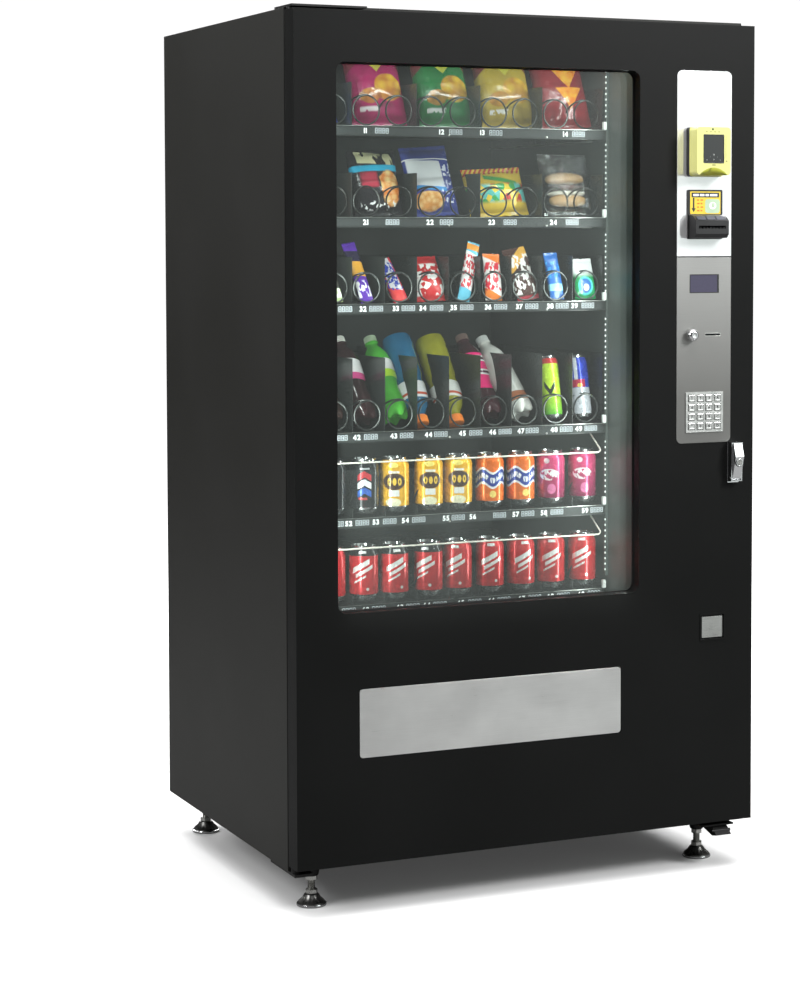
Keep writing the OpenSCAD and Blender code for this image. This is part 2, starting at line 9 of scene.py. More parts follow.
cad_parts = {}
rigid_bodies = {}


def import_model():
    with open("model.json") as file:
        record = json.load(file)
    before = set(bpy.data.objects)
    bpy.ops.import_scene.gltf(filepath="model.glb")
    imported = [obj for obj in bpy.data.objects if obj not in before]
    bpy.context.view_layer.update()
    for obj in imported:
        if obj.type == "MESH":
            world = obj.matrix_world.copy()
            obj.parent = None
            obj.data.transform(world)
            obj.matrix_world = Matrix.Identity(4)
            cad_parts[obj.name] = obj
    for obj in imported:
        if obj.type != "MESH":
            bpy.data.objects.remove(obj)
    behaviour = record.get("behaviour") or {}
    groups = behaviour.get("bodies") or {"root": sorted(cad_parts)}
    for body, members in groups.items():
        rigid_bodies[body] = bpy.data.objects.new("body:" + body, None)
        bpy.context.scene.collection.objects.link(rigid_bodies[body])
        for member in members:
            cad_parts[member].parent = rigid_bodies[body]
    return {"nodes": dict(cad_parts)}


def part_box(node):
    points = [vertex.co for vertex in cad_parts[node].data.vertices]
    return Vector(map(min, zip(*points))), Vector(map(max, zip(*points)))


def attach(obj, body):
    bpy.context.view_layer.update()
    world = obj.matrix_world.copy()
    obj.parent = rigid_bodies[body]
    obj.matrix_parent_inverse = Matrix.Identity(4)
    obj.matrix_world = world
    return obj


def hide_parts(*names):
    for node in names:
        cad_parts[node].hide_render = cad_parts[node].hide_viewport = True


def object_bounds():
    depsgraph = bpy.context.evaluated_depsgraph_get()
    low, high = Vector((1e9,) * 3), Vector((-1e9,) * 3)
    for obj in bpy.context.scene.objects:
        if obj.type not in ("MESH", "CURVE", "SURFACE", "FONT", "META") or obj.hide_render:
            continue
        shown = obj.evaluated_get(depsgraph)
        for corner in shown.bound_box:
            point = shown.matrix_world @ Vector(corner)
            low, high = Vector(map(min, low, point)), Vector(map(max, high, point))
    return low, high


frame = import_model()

cad_box = [list(v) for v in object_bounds()]
nodes = frame["nodes"]
rng = random.Random(7)
MM = 0.001
D_LO, D_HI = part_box("door_shell")


def P(u, y, v):
    """Door frame in mm (from the door's left edge, back from its face, up from its bottom) to metres."""
    return Vector((D_LO.x + u * MM, D_LO.y + y * MM, D_LO.z + v * MM))


def L(node):
    """Box of a CAD node in the door frame, in mm: u0, u1, y0, y1, v0, v1."""
    a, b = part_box(node)
    a, b = (a - P(0, 0, 0)) / MM, (b - P(0, 0, 0)) / MM
    return a.x, b.x, a.y, b.y, a.z, b.z


# ---------------------------------------------------------------- materials
class Tree:
    """Small helper that writes one procedural material."""

    def __init__(self, name, color=(0.5, 0.5, 0.5), rough=0.5, metal=0.0, **sockets):
        self.m = bpy.data.materials.new(name)
        self.m.use_nodes = True
        self.t = self.m.node_tree
        self.b = self.t.nodes["Principled BSDF"]
        self.b.inputs["Base Color"].default_value = (*color, 1)
        self.b.inputs["Roughness"].default_value = rough
        self.b.inputs["Metallic"].default_value = metal
        for k, v in sockets.items():
            self.b.inputs[k.replace("_", " ")].default_value = v
        self.m.diffuse_color = (*color, 1)
        self.c = None

    def n(self, kind, **props):
        x = self.t.nodes.new(kind)
        for k, v in props.items():
            setattr(x, k, v)
        return x

    def put(self, node, i, v):
        if v is None:
            return
        if isinstance(v, bpy.types.NodeSocket):
            self.t.links.new(v, node.inputs[i])
        else:
            node.inputs[i].default_value = v

    def obj(self):
        if self.c is None:
            self.c = self.n("ShaderNodeTexCoord").outputs["Object"]
        return self.c

    def xyz(self, v=None):
        s = self.n("ShaderNodeSeparateXYZ")
        self.put(s, 0, v or self.obj())
        return s.outputs

    def scale(self, s):
        x = self.n("ShaderNodeMapping")
        self.put(x, "Vector", self.obj())
        x.inputs["Scale"].default_value = s
        return x.outputs[0]

    def noise(self, scale, detail=3.0, vec=None, rough=0.55, dist=0.0):
        x = self.n("ShaderNodeTexNoise")
        self.put(x, "Vector", vec or self.obj())
        x.inputs["Scale"].default_value = scale
        x.inputs["Detail"].default_value = detail
        x.inputs["Roughness"].default_value = rough
        x.inputs["Distortion"].default_value = dist
        return x.outputs["Fac"]

    def cells(self, scale, vec=None, feature="F1", out="Distance"):
        x = self.n("ShaderNodeTexVoronoi", feature=feature)
        self.put(x, "Vector", vec or self.obj())
        x.inputs["Scale"].default_value = scale
        return x.outputs[out]

    def f(self, op, a, b=None, clamp=False):
        x = self.n("ShaderNodeMath", operation=op, use_clamp=clamp)
        self.put(x, 0, a)
        self.put(x, 1, b)
        return x.outputs[0]

    def ramp(self, v, lo, hi, a=0.0, b=1.0):
        x = self.n("ShaderNodeMapRange")
        self.put(x, "Value", v)
        for k, q in (("From Min", lo), ("From Max", hi), ("To Min", a), ("To Max", b)):
            x.inputs[k].default_value = q
        return x.outputs[0]

    def band(self, v, lo, hi, soft=0.0004):
        """1 between lo and hi."""
        return self.f("MULTIPLY", self.ramp(v, lo - soft, lo + soft), self.ramp(v, hi - soft, hi + soft, 1.0, 0.0))

    def mix(self, fac, a, b, mode="MIX"):
        x = self.n("ShaderNodeMix", data_type="RGBA", blend_type=mode)
        self.put(x, 0, fac)
        for i, v in ((6, a), (7, b)):
            if isinstance(v, tuple):
                v = (*v, 1) if len(v) == 3 else v
            self.put(x, i, v)
        return x.outputs[2]

    def color(self, v):
        self.put(self.b, "Base Color", v)

    def rough(self, v):
        self.put(self.b, "Roughness", v)

    def bump(self, h, dist=0.0002, strength=1.0):
        x = self.n("ShaderNodeBump")
        x.inputs["Distance"].default_value = dist
        x.inputs["Strength"].default_value = strength
        self.put(x, "Height", h)
        old = self.b.inputs["Normal"]
        if old.is_linked:
            self.t.links.new(old.links[0].from_socket, x.inputs["Normal"])
        self.t.links.new(x.outputs[0], old)

    def edge(self, radius, lo=0.86, hi=0.97):
        """1 on worn outer edges, from the bevel's turned normal."""
        g = self.n("ShaderNodeNewGeometry")
        bv = self.n("ShaderNodeBevel", samples=4)
        bv.inputs["Radius"].default_value = radius
        d = self.n("ShaderNodeVectorMath", operation="DOT_PRODUCT")
        self.t.links.new(g.outputs["Normal"], d.inputs[0])
        self.t.links.new(bv.outputs[0], d.inputs[1])
        return self.ramp(d.outputs["Value"], lo, hi, 1.0, 0.0)


def powder(name, a, b, rough=0.5, spec=0.35, grain=650.0, wear=0.0):
    t = Tree(name, a, rough, Specular_IOR_Level=spec)
    big = t.noise(2.2, 2)
    fine = t.noise(grain, 2)
    c = t.mix(t.ramp(big, 0.35, 0.65), a, b)
    speck = t.ramp(t.cells(grain * 0.55), 0.0, 0.16, 0.5, 0.0)
    c = t.mix(speck, c, tuple(min(1.0, x * 2.6 + 0.012) for x in b))
    t.color(c)
    t.rough(t.ramp(t.f("ADD", fine, t.f("MULTIPLY", big, 0.6)), 0.5, 1.1, rough - 0.09, rough + 0.1))
    t.bump(fine, 0.00022, 0.8)
    t.bump(t.noise(34, 2), 0.0006, 0.25)
    return t.m


def brushed(name, color, rough=0.3, along="x", fine=1400.0, var=0.12, spec=0.5, aniso=0.0, mott=9.0):
    t = Tree(name, color, rough, 1.0)
    s = {"x": (0.012, 1, 1), "z": (1, 1, 0.012), "y": (1, 0.012, 1)}[along]
    g = t.noise(fine, 3, t.scale(s))
    m = t.noise(mott, 3)
    k = tuple(max(0.0, x * (1 - var)) for x in color)
    h = tuple(min(1.0, x * (1 + var)) for x in color)
    t.color(t.mix(t.ramp(g, 0.3, 0.7), t.mix(t.ramp(m, 0.35, 0.65), k, color), t.mix(t.ramp(m, 0.35, 0.65), color, h)))
    t.rough(t.ramp(t.f("ADD", t.f("MULTIPLY", g, 0.6), t.f("MULTIPLY", m, 0.4)), 0.3, 0.7, rough * 0.75, rough * 1.3))
    t.bump(g, 0.00006, 0.6)
    return t.m


def metal(name, color, rough=0.2, scale=40.0, var=0.1, bump=0.00004):
    t = Tree(name, color, rough, 1.0)
    m = t.noise(scale, 4)
    s = t.noise(scale * 14, 2)
    t.color(t.mix(t.ramp(m, 0.3, 0.7), tuple(x * (1 - var) for x in color), color))
    t.rough(t.ramp(t.f("ADD", t.f("MULTIPLY", m, 0.5), t.f("MULTIPLY", s, 0.5)), 0.35, 0.65, rough * 0.7, rough * 1.5))
    t.bump(s, bump, 0.5)
    return t.m


def spangle(name, color, rough=0.35):
    """Galvanised sheet."""
    t = Tree(name, color, rough, 1.0)
    c = t.cells(90, out="Color")
    s = t.n("ShaderNodeSeparateColor")
    t.put(s, 0, c)
    t.color(t.mix(s.outputs[0], tuple(x * 0.8 for x in color), tuple(min(1, x * 1.12) for x in color)))
    t.rough(t.ramp(s.outputs[1], 0, 1, rough * 0.7, rough * 1.3))
    t.bump(t.noise(420, 2), 0.00005, 0.5)
    return t.m


def plastic(name, color, rough=0.35, grain=900.0, depth=0.00008, var=0.06, spec=0.5, coat=0.0, blotch=14.0):
    t = Tree(name, color, rough, Specular_IOR_Level=spec, Coat_Weight=coat, Coat_Roughness=0.08)
    m = t.noise(blotch, 3)
    t.color(t.mix(t.ramp(m, 0.3, 0.7), tuple(x * (1 - var) for x in color), tuple(min(1, x * (1 + var * 0.4)) for x in color)))
    g = t.noise(grain, 2)
    t.rough(t.ramp(t.f("ADD", t.f("MULTIPLY", m, 0.4), t.f("MULTIPLY", g, 0.6)), 0.35, 0.65, rough * 0.85, min(1, rough * 1.2)))
    t.bump(g, depth, 0.6)
    return t.m


def ink(name, color, rough=0.45):
    return plastic(name, color, rough, 1600, 0.00003, 0.05)


def glow(name, color, power, base=(0.8, 0.8, 0.8)):
    t = Tree(name, base, 0.4, Emission_Strength=power)
    m = t.noise(260, 1)
    t.put(t.b, "Emission Color", t.mix(t.ramp(m, 0.3, 0.7), tuple(x * 0.88 for x in color), color))
    return t.m


def glass_sheet(name):
    """Clear pane: a faint veil, sharp gloss, and everything behind it seen through."""
    t = Tree(name, (0.62, 0.7, 0.67), 0.05, Specular_IOR_Level=0.5)
    out = t.t.nodes["Material Output"]
    tr = t.n("ShaderNodeBsdfTransparent")
    tr.inputs[0].default_value = (0.93, 0.955, 0.945, 1)
    gl = t.n("ShaderNodeBsdfGlossy")
    gl.inputs["Roughness"].default_value = 0.03
    df = t.n("ShaderNodeBsdfDiffuse")
    df.inputs[0].default_value = (0.55, 0.62, 0.59, 1)
    fr = t.n("ShaderNodeFresnel")
    fr.inputs["IOR"].default_value = 1.45
    smear = t.ramp(t.noise(3.5, 4, t.scale((1, 1, 0.35))), 0.3, 0.75, 0.012, 0.05)
    t.bump(t.noise(5, 1), 0.0004, 0.12)
    nrm = t.b.inputs["Normal"].links[0].from_socket
    t.t.links.new(nrm, gl.inputs["Normal"])
    a, b = t.n("ShaderNodeMixShader"), t.n("ShaderNodeMixShader")
    t.put(a, 0, smear)
    t.t.links.new(tr.outputs[0], a.inputs[1])
    t.t.links.new(df.outputs[0], a.inputs[2])
    t.put(b, 0, fr.outputs[0])
    t.t.links.new(a.outputs[0], b.inputs[1])
    t.t.links.new(gl.outputs[0], b.inputs[2])
    t.t.links.new(b.outputs[0], out.inputs[0])
    t.t.nodes.remove(t.b)
    return t.m


def painted_shade_steel(name, lo_z, hi_z, top, low):
    """Fascia steel with painted shade: its colour is lighter at the top and darker towards the bottom."""
    t = Tree(name, low, 0.38, 0.55, Specular_IOR_Level=0.5)
    z = t.xyz()[2]
    g = t.noise(1500, 3, t.scale((0.012, 1, 1)))
    # painted shade: colour ramps from low at lo_z up to top at hi_z
    c = t.mix(t.ramp(z, lo_z, hi_z), low, top)
    t.color(t.mix(t.ramp(g, 0.3, 0.7, 0.0, 0.16), c, (0.25, 0.25, 0.24)))
    t.rough(t.ramp(g, 0.3, 0.7, 0.3, 0.5))
    t.bump(g, 0.00005, 0.5)
    return t.m


# painted shade: the door's black is set darker than the cabinet's, so the front reads darker than the sides
CAB = powder("cabinet_powder", (0.0165, 0.0165, 0.0148), (0.0195, 0.0195, 0.018), 0.46, 0.24)
DOOR = powder("door_powder", (0.0046, 0.0049, 0.0047), (0.0058, 0.0061, 0.0059), 0.45, 0.13)
DARK = powder("dark_powder", (0.006, 0.006, 0.006), (0.009, 0.009, 0.009), 0.5, 0.35)
LINER = plastic("liner_grey", (0.055, 0.066, 0.06), 0.42, 500, 0.0001, 0.12)
GALV = spangle("galvanised", (0.5, 0.51, 0.5))
TRAY = powder("tray_grey", (0.014, 0.017, 0.016), (0.02, 0.023, 0.022), 0.28, 0.42, 420)
ZINC = metal("zinc", (0.66, 0.66, 0.63), 0.28)
CHROME = metal("chrome", (0.86, 0.87, 0.88), 0.09, 60, 0.04)
SATIN = brushed("satin_steel", (0.55, 0.56, 0.54), 0.3, "x")
FLAPM = brushed("flap_stainless", (0.82, 0.825, 0.81), 0.36, "x", 1500, 0.06)
RUBBER = plastic("rubber", (0.009, 0.009, 0.009), 0.6, 700, 0.0001, 0.2, 0.35)
BLACKP = plastic("black_plastic", (0.016, 0.016, 0.017), 0.34, 900, 0.00008, 0.2)
WHITE = plastic("white_gloss", (0.93, 0.935, 0.945), 0.05, 700, 0.000015, 0.03, 0.5, 0.4)
WHITE.node_tree.nodes["Principled BSDF"].inputs["Metallic"].default_value = 0.5
CLIP = plastic("clip_white", (0.8, 0.82, 0.8), 0.4)
YELLOW = plastic("lemon_plastic", (0.74, 0.73, 0.26), 0.32, 900, 0.00006, 0.05, 0.5, 0.25)
# painted shade: a darker, greener copy of the lemon plastic for the card reader's down-facing faces
LEMON_UNDERSIDE_SHADE = plastic("lime_shade", (0.55, 0.57, 0.06), 0.35)
KEYM = metal("key_steel", (0.76, 0.77, 0.75), 0.3, 90, 0.06)
PADM = metal("pad_steel", (0.68, 0.69, 0.67), 0.34, 70, 0.08)
COINM = plastic("coin_grey", (0.075, 0.08, 0.1), 0.4)
SPIRAL = metal("spiral_steel", (0.17, 0.18, 0.175), 0.34, 120, 0.14)
SPIRALD = metal("spiral_dark", (0.06, 0.062, 0.06), 0.3, 120, 0.2)
BARW = metal("bar_wire", (0.93, 0.89, 0.8), 0.34, 90, 0.05)
BARW.node_tree.nodes["Principled BSDF"].inputs["Metallic"].default_value = 0.35
PANE = glass_sheet("window_pane")
# painted glow: white and pale print made emissive, though it is no lamp
INK_WHITE_GLOWING = glow("ink_white", (0.9, 0.95, 0.95), 0.28, (0.9, 0.92, 0.92))
INK_PALE_GLOWING = glow("ink_pale", (0.8, 0.88, 0.95), 0.2, (0.75, 0.8, 0.85))
STRIP = plastic("label_strip", (0.03, 0.034, 0.034), 0.5, 600, 0.00005, 0.15, 0.3)
# dark ink for print; the same material is the painted shadow round the keys
INK_DARK_AND_SHADOW = ink("ink_dark", (0.02, 0.02, 0.022))
LED = glow("led_cool", (0.86, 0.95, 0.9), 0.5)
SCREEN = glow("lcd_blue", (0.1, 0.085, 0.17), 0.42, (0.02, 0.02, 0.035))
COMP = plastic("compressor_black", (0.012, 0.012, 0.013), 0.22, 500, 0.0002, 0.15)
FINS = metal("fin_aluminium", (0.6, 0.61, 0.61), 0.35)
# painted shade: the lower fascia's steel darkens from its top down to its bottom
f_lo, f_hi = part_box("lower_fascia")
FASCIA = painted_shade_steel("fascia_steel", f_lo.z + 0.1, f_hi.z - 0.02, (0.36, 0.36, 0.35), (0.17, 0.17, 0.162))

NODE_MAT = {
    "cabinet_shell": (CAB, "cabinet_paint"), "door_shell": (DOOR, "door_paint"), "inner_liner": (LINER, "liner"),
    "tray_runners": (GALV, "runner_steel"), "led_strips": (LINER, "led_strip"), "top_hinge_plate": (DARK, "black_steel"),
    "bottom_hinge_bracket": (DARK, "black_steel"), "door_ramp": (DARK, "black_steel"), "foot_sockets": (DARK, "black_steel"),
    "leveling_feet": (ZINC, "foot_steel"), "cooling_unit": (COMP, "cooling_black"), "control_box": (GALV, "box_steel"),
    "window_glass": (PANE, "glass"), "window_gasket": (RUBBER, "gasket"), "upper_fascia": (WHITE, "fascia_white"),
    "lower_fascia": (FASCIA, "fascia_steel"), "display": (SCREEN, "display"), "keypad_plate": (PADM, "keypad_metal"),
    "card_reader": (YELLOW, "reader_yellow"), "bill_validator": (BLACKP, "validator_black"), "coin_mech": (COINM, "coin_mech_grey"),
    # painted shade: the coin cup takes the door's black, its steel inner walls included, so its recess reads dark
    "coin_cup": (DOOR, "door_paint"), "lock_housing": (CHROME, "chrome"), "delivery_bin": (BLACKP, "bin_black"),
    "delivery_flap": (FLAPM, "flap_steel"), "coin_flap": (SATIN, "fascia_steel"), "coin_return_knob": (CHROME, "chrome"),
    "lock_handle": (CHROME, "chrome"), "lock_plug": (ZINC, "lock_plug_steel"), "can_bar_5": (BARW, "bar_wire"),
    "can_bar_6": (BARW, "bar_wire"), "spiral_30": (SPIRAL, "spiral_steel"),
}
for i in range(1, 7):
    NODE_MAT[f"tray_{i}"] = (TRAY, "tray_steel")
    NODE_MAT[f"spirals_{i}"] = (SPIRAL, "spiral_steel") if i in (3, 4) else (SPIRALD, "spiral_dark")
for name, o in nodes.items():
    if name.startswith("key_"):
        NODE_MAT[name] = (KEYM, "key_metal")
    o.data.materials.clear()
    o.data.materials.append(NODE_MAT[name][0])
BODY = {name: o.parent.name.split(":", 1)[-1] for name, o in nodes.items()}


# ---------------------------------------------------------------- geometry helpers
class Piece:
    """Collects closed shapes and makes one object of them. Coordinates are in the door frame, in mm."""

    def __init__(self, name, *mats):
        self.name, self.mats = name, list(mats)
        self.v, self.f, self.k, self.s = [], [], [], []

    def raw(self, verts, faces, k=0, smooth=False):
        n = len(self.v)
        self.v += verts
        for f in faces:
            self.f.append([n + i for i in f])
            self.k.append(k)
            self.s.append(smooth)

    def add(self, pts, faces, k=0, smooth=False):
        self.raw([P(*p) for p in pts], faces, k, smooth)

    def box(self, x0, x1, y0, y1, z0, z1, k=0):
        p = [(x, y, z) for z in (z0, z1) for y in (y0, y1) for x in (x0, x1)]
        self.add(p, [(0, 2, 3, 1), (4, 5, 7, 6), (0, 1, 5, 4), (2, 6, 7, 3), (0, 4, 6, 2), (1, 3, 7, 5)], k)

    def prism(self, outline, y0, y1, k=0, smooth=False):
        """A closed outline in (u, v), counter-clockwise as seen from the front, between two depths."""
        n = len(outline)
        p = [(a, y0, b) for a, b in outline] + [(a, y1, b) for a, b in outline]
        self.add(p, [tuple(range(n)), tuple(range(2 * n - 1, n - 1, -1))]
                 + [(i, n + i, n + (i + 1) % n, (i + 1) % n) for i in range(n)], k, smooth)

    def side(self, outline, x0, x1, k=0):
        """A closed outline in (y, v) between two u."""
        n = len(outline)
        p = [(x0, a, b) for a, b in outline] + [(x1, a, b) for a, b in outline]
        self.add(p, [tuple(range(n - 1, -1, -1)), tuple(range(n, 2 * n))]
                 + [(i, (i + 1) % n, n + (i + 1) % n, n + i) for i in range(n)], k)

    def tube(self, path, r, n=8, k=0, closed=False):
        """A round wire along points; r may be one radius or one for each point."""
        m = len(path)
        pts = [Vector(q) for q in path]
        rs = r if isinstance(r, (list, tuple)) else [r] * m
        ref = Vector((0, 1, 0))
        vv, a = [], None
        for i, q in enumerate(pts):
            t = ((pts[(i + 1) % m] - pts[i - 1]) if closed else (pts[min(i + 1, m - 1)] - pts[max(i - 1, 0)])).normalized()
            if a is None:
                a = t.cross(ref) if abs(t.dot(ref)) < 0.9 else t.cross(Vector((1, 0, 0)))
            a = (a - t * a.dot(t)).normalized()
            b = t.cross(a)
            vv += [tuple(q + (a * math.cos(6.283185 * j / n) + b * math.sin(6.283185 * j / n)) * rs[i]) for j in range(n)]
        ff = []
        for i in range(m if closed else m - 1):
            o, w = i * n, ((i + 1) % m) * n
            ff += [(o + j, o + (j + 1) % n, w + (j + 1) % n, w + j) for j in range(n)]
        if not closed:
            ff += [tuple(range(n - 1, -1, -1)), tuple(range((m - 1) * n, m * n))]
        self.add(vv, ff, k, True)

    def lathe(self, profile, origin, axis, n=32, k=0, ks=None, start=None):
        """Radius and height pairs turned about an axis through origin (door frame, mm). The first and last radius are 0 or the ends are capped."""
        ax = Vector(axis).normalized()
        ref = Vector(start) if start else (Vector((0, 0, 1)) if abs(ax.z) < 0.9 else Vector((1, 0, 0)))
        a = (ref - ax * ref.dot(ax)).normalized()
        b = ax.cross(a)
        o = Vector(origin)
        vv, rings = [], []
        for r, h in profile:
            if r < 1e-6:
                rings.append([len(vv)])
                vv.append(tuple(o + ax * h))
            else:
                rings.append(list(range(len(vv), len(vv) + n)))
                vv += [tuple(o + ax * h + (a * math.cos(6.283185 * j / n) + b * math.sin(6.283185 * j / n)) * r) for j in range(n)]
        base = len(self.v)
        self.v += [P(*q) for q in vv]

        def face(f, kk):
            self.f.append([base + i for i in f])
            self.k.append(kk)
            self.s.append(True)
        if len(rings[0]) > 1:
            face(rings[0][::-1], ks[0] if ks else k)
        for i in range(len(rings) - 1):
            p, q, kk = rings[i], rings[i + 1], (ks[i] if ks else k)
            for j in range(n):
                w = (j + 1) % n
                if len(p) == 1 and len(q) > 1:
                    face((p[0], q[w], q[j]), kk)
                elif len(q) == 1 and len(p) > 1:
                    face((p[j], p[w], q[0]), kk)
                elif len(p) > 1:
                    face((p[j], p[w], q[w], q[j]), kk)
        if len(rings[-1]) > 1:
            face(rings[-1], ks[-1] if ks else k)

    def done(self, body, replaces=(), bevel=0.0, seg=2, angle=35.0, origin=None):
        me = bpy.data.meshes.new(self.name)
        me.from_pydata([tuple(q) for q in self.v], [], self.f)
        for m in self.mats:
            me.materials.append(m)
        me.polygons.foreach_set("material_index", self.k)
        me.polygons.foreach_set("use_smooth", self.s)
        me.update()
        bm = bmesh.new()
        bm.from_mesh(me)
        bmesh.ops.recalc_face_normals(bm, faces=bm.faces)
        bm.to_mesh(me)
        bm.free()
        return finish_piece(self.name, me, body, replaces, bevel, seg, angle, origin)


def finish_piece(name, me, body, replaces=(), bevel=0.0, seg=2, angle=35.0, origin=None):
    o = bpy.data.objects.new(name, me)
    if origin is not None:
        me.transform(Matrix.Translation(-origin))
        o.location = origin
    bpy.context.collection.objects.link(o)
    if bevel:
        bm = bmesh.new()
        bm.from_mesh(me)
        sel = [e for e in bm.edges if len(e.link_faces) == 2 and e.is_convex and e.calc_face_angle(0) > math.radians(40)]
        bmesh.ops.bevel(bm, geom=sel, offset=bevel * MM, offset_type="OFFSET", segments=seg, profile=0.5,
                        affect="EDGES", clamp_overlap=True, loop_slide=True, material=-1)
        for f in bm.faces:
            f.smooth = True
        bm.to_mesh(me)
        bm.free()
        w = o.modifiers.new("flat", "WEIGHTED_NORMAL")
        w.keep_sharp = True
        w.weight = 100
    me.set_sharp_from_angle(angle=math.radians(angle))
    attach(o, body)
    if replaces:
        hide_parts(*replaces)
    return o


def refine(node, bevel=0.6, seg=2, mats=None, pick=None, angle=32.0, shortest=4.0, name=None, extra=None):
    """The CAD node again as a clean mesh with rounded edges. pick(centre in the door frame, normal) gives a material index."""
    src = nodes[node]
    bm = bmesh.new()
    bm.from_mesh(src.data)
    bmesh.ops.remove_doubles(bm, verts=bm.verts, dist=2e-6)
    bmesh.ops.dissolve_limit(bm, angle_limit=math.radians(0.6), verts=bm.verts, edges=bm.edges)
    bmesh.ops.recalc_face_normals(bm, faces=bm.faces)
    me = bpy.data.meshes.new((name or node) + "_fine")
    o = P(0, 0, 0)
    for f in bm.faces:
        f.material_index = pick((f.calc_center_median() - o) / MM, f.normal) if pick else 0
    sel = [e for e in bm.edges if len(e.link_faces) == 2 and e.is_convex and e.calc_length() > shortest * MM
           and e.calc_face_angle(0) > math.radians(40) and all(room(f, e) > 2.2 * bevel * MM for f in e.link_faces)]
    if sel and bevel:
        bmesh.ops.bevel(bm, geom=sel, offset=bevel * MM, offset_type="OFFSET", segments=seg, profile=0.5,
                        affect="EDGES", clamp_overlap=True, loop_slide=True, material=-1)
    for f in bm.faces:
        f.smooth = True
    bm.to_mesh(me)
    bm.free()
    m, slot = NODE_MAT[node]
    for x in mats or [m]:
        me.materials.append(x)
    ob = finish_piece((name or node) + "_fine", me, BODY[node], (node,), 0, seg, angle)
    w = ob.modifiers.new("flat", "WEIGHTED_NORMAL")
    w.keep_sharp = True
    w.weight = 100
    return ob


def room(face, edge):
    """How far a face reaches away from one of its edges."""
    a, b = edge.verts[0].co, edge.verts[1].co
    d = (b - a).normalized()
    return max(((v.co - a) - d * (v.co - a).dot(d)).length for v in face.verts)


def arcpts(cx, cz, r, a0, a1, n):
    return [(cx + r * math.cos(math.radians(a0 + (a1 - a0) * i / n)), cz + r * math.sin(math.radians(a0 + (a1 - a0) * i / n))) for i in range(n + 1)]


def rrect(u0, u1, v0, v1, r, n=6):
    return (arcpts(u1 - r, v1 - r, r, 0, 90, n) + arcpts(u0 + r, v1 - r, r, 90, 180, n)
            + arcpts(u0 + r, v0 + r, r, 180, 270, n) + arcpts(u1 - r, v0 + r, r, 270, 360, n))


_glyphs = {}


def glyph(ch):
    """Flat outline mesh of one character, 1 unit high, from the built-in font: vertices and triangles."""
    if ch not in _glyphs:
        cu = bpy.data.curves.new("g", "FONT")
        cu.body = ch
        cu.offset = 0.034
        cu.resolution_u = 3
        ob = bpy.data.objects.new("g", cu)
        bpy.context.collection.objects.link(ob)
        dg = bpy.context.evaluated_depsgraph_get()
        ev = ob.evaluated_get(dg)
        me = bpy.data.meshes.new_from_object(ev)
        bm = bmesh.new()
        bm.from_mesh(me)
        bmesh.ops.remove_doubles(bm, verts=bm.verts, dist=1e-5)
        vs = [(v.co.x, v.co.y) for v in bm.verts]
        bm.verts.index_update()
        fs = [[v.index for v in f.verts] for f in bm.faces]
        edges = [[e.verts[0].index, e.verts[1].index] for e in bm.edges if len(e.link_faces) == 1]
        # boundary edges in face order
        loops = []
        for f in bm.faces:
            for lp in f.loops:
                if len(lp.edge.link_faces) == 1:
                    loops.append((lp.vert.index, lp.link_loop_next.vert.index))
        bm.free()
        bpy.data.objects.remove(ob)
        xs = [p[0] for p in vs] or [0]
        _glyphs[ch] = (vs, fs, loops, min(xs), max(xs))
    return _glyphs[ch]


def write(piece, text, cu, y, cv, h, depth=0.25, k=0, gap=0.12):
    """Characters as thin raised solids, centred on (cu, cv), reading along +u, standing depth in front of y."""
    gs = [glyph(c) for c in text]
    s = h / 0.72
    w = sum((g[4] - g[3]) * s for g in gs) + gap * s * (len(gs) - 1)
    x = cu - w / 2
    for g in gs:
        vs, fs, loops, lo, hi = g
        n = len(vs)
        q = [(x + (a - lo) * s, y - depth, cv + b * s - h / 2) for a, b in vs] + [(x + (a - lo) * s, y, cv + b * s - h / 2) for a, b in vs]
        flip = True
        ff = [tuple(f) for f in fs] + [tuple(n + i for i in reversed(f)) for f in fs]
        ff += [(b, a, n + a, n + b) for a, b in loops]
        piece.add(q, ff, k)
        x += (hi - lo + gap) * s
    return x


def seg8(piece, u, y, v, w, h, t, depth=0.2, k=0):
    """The seven bars of a blank price digit."""
    g = t * 0.25
    for z in (v, v + h / 2, v + h):
        piece.box(u + g, u + w - g, y - depth, y, z - t / 2, z + t / 2, k)
    for x in (u, u + w):
        for z in (v + t / 2 + g, v + h / 2 + t / 2 + g):
            piece.box(x - t / 2, x + t / 2, y - depth, y, z, z + h / 2 - t - 2 * g, k)


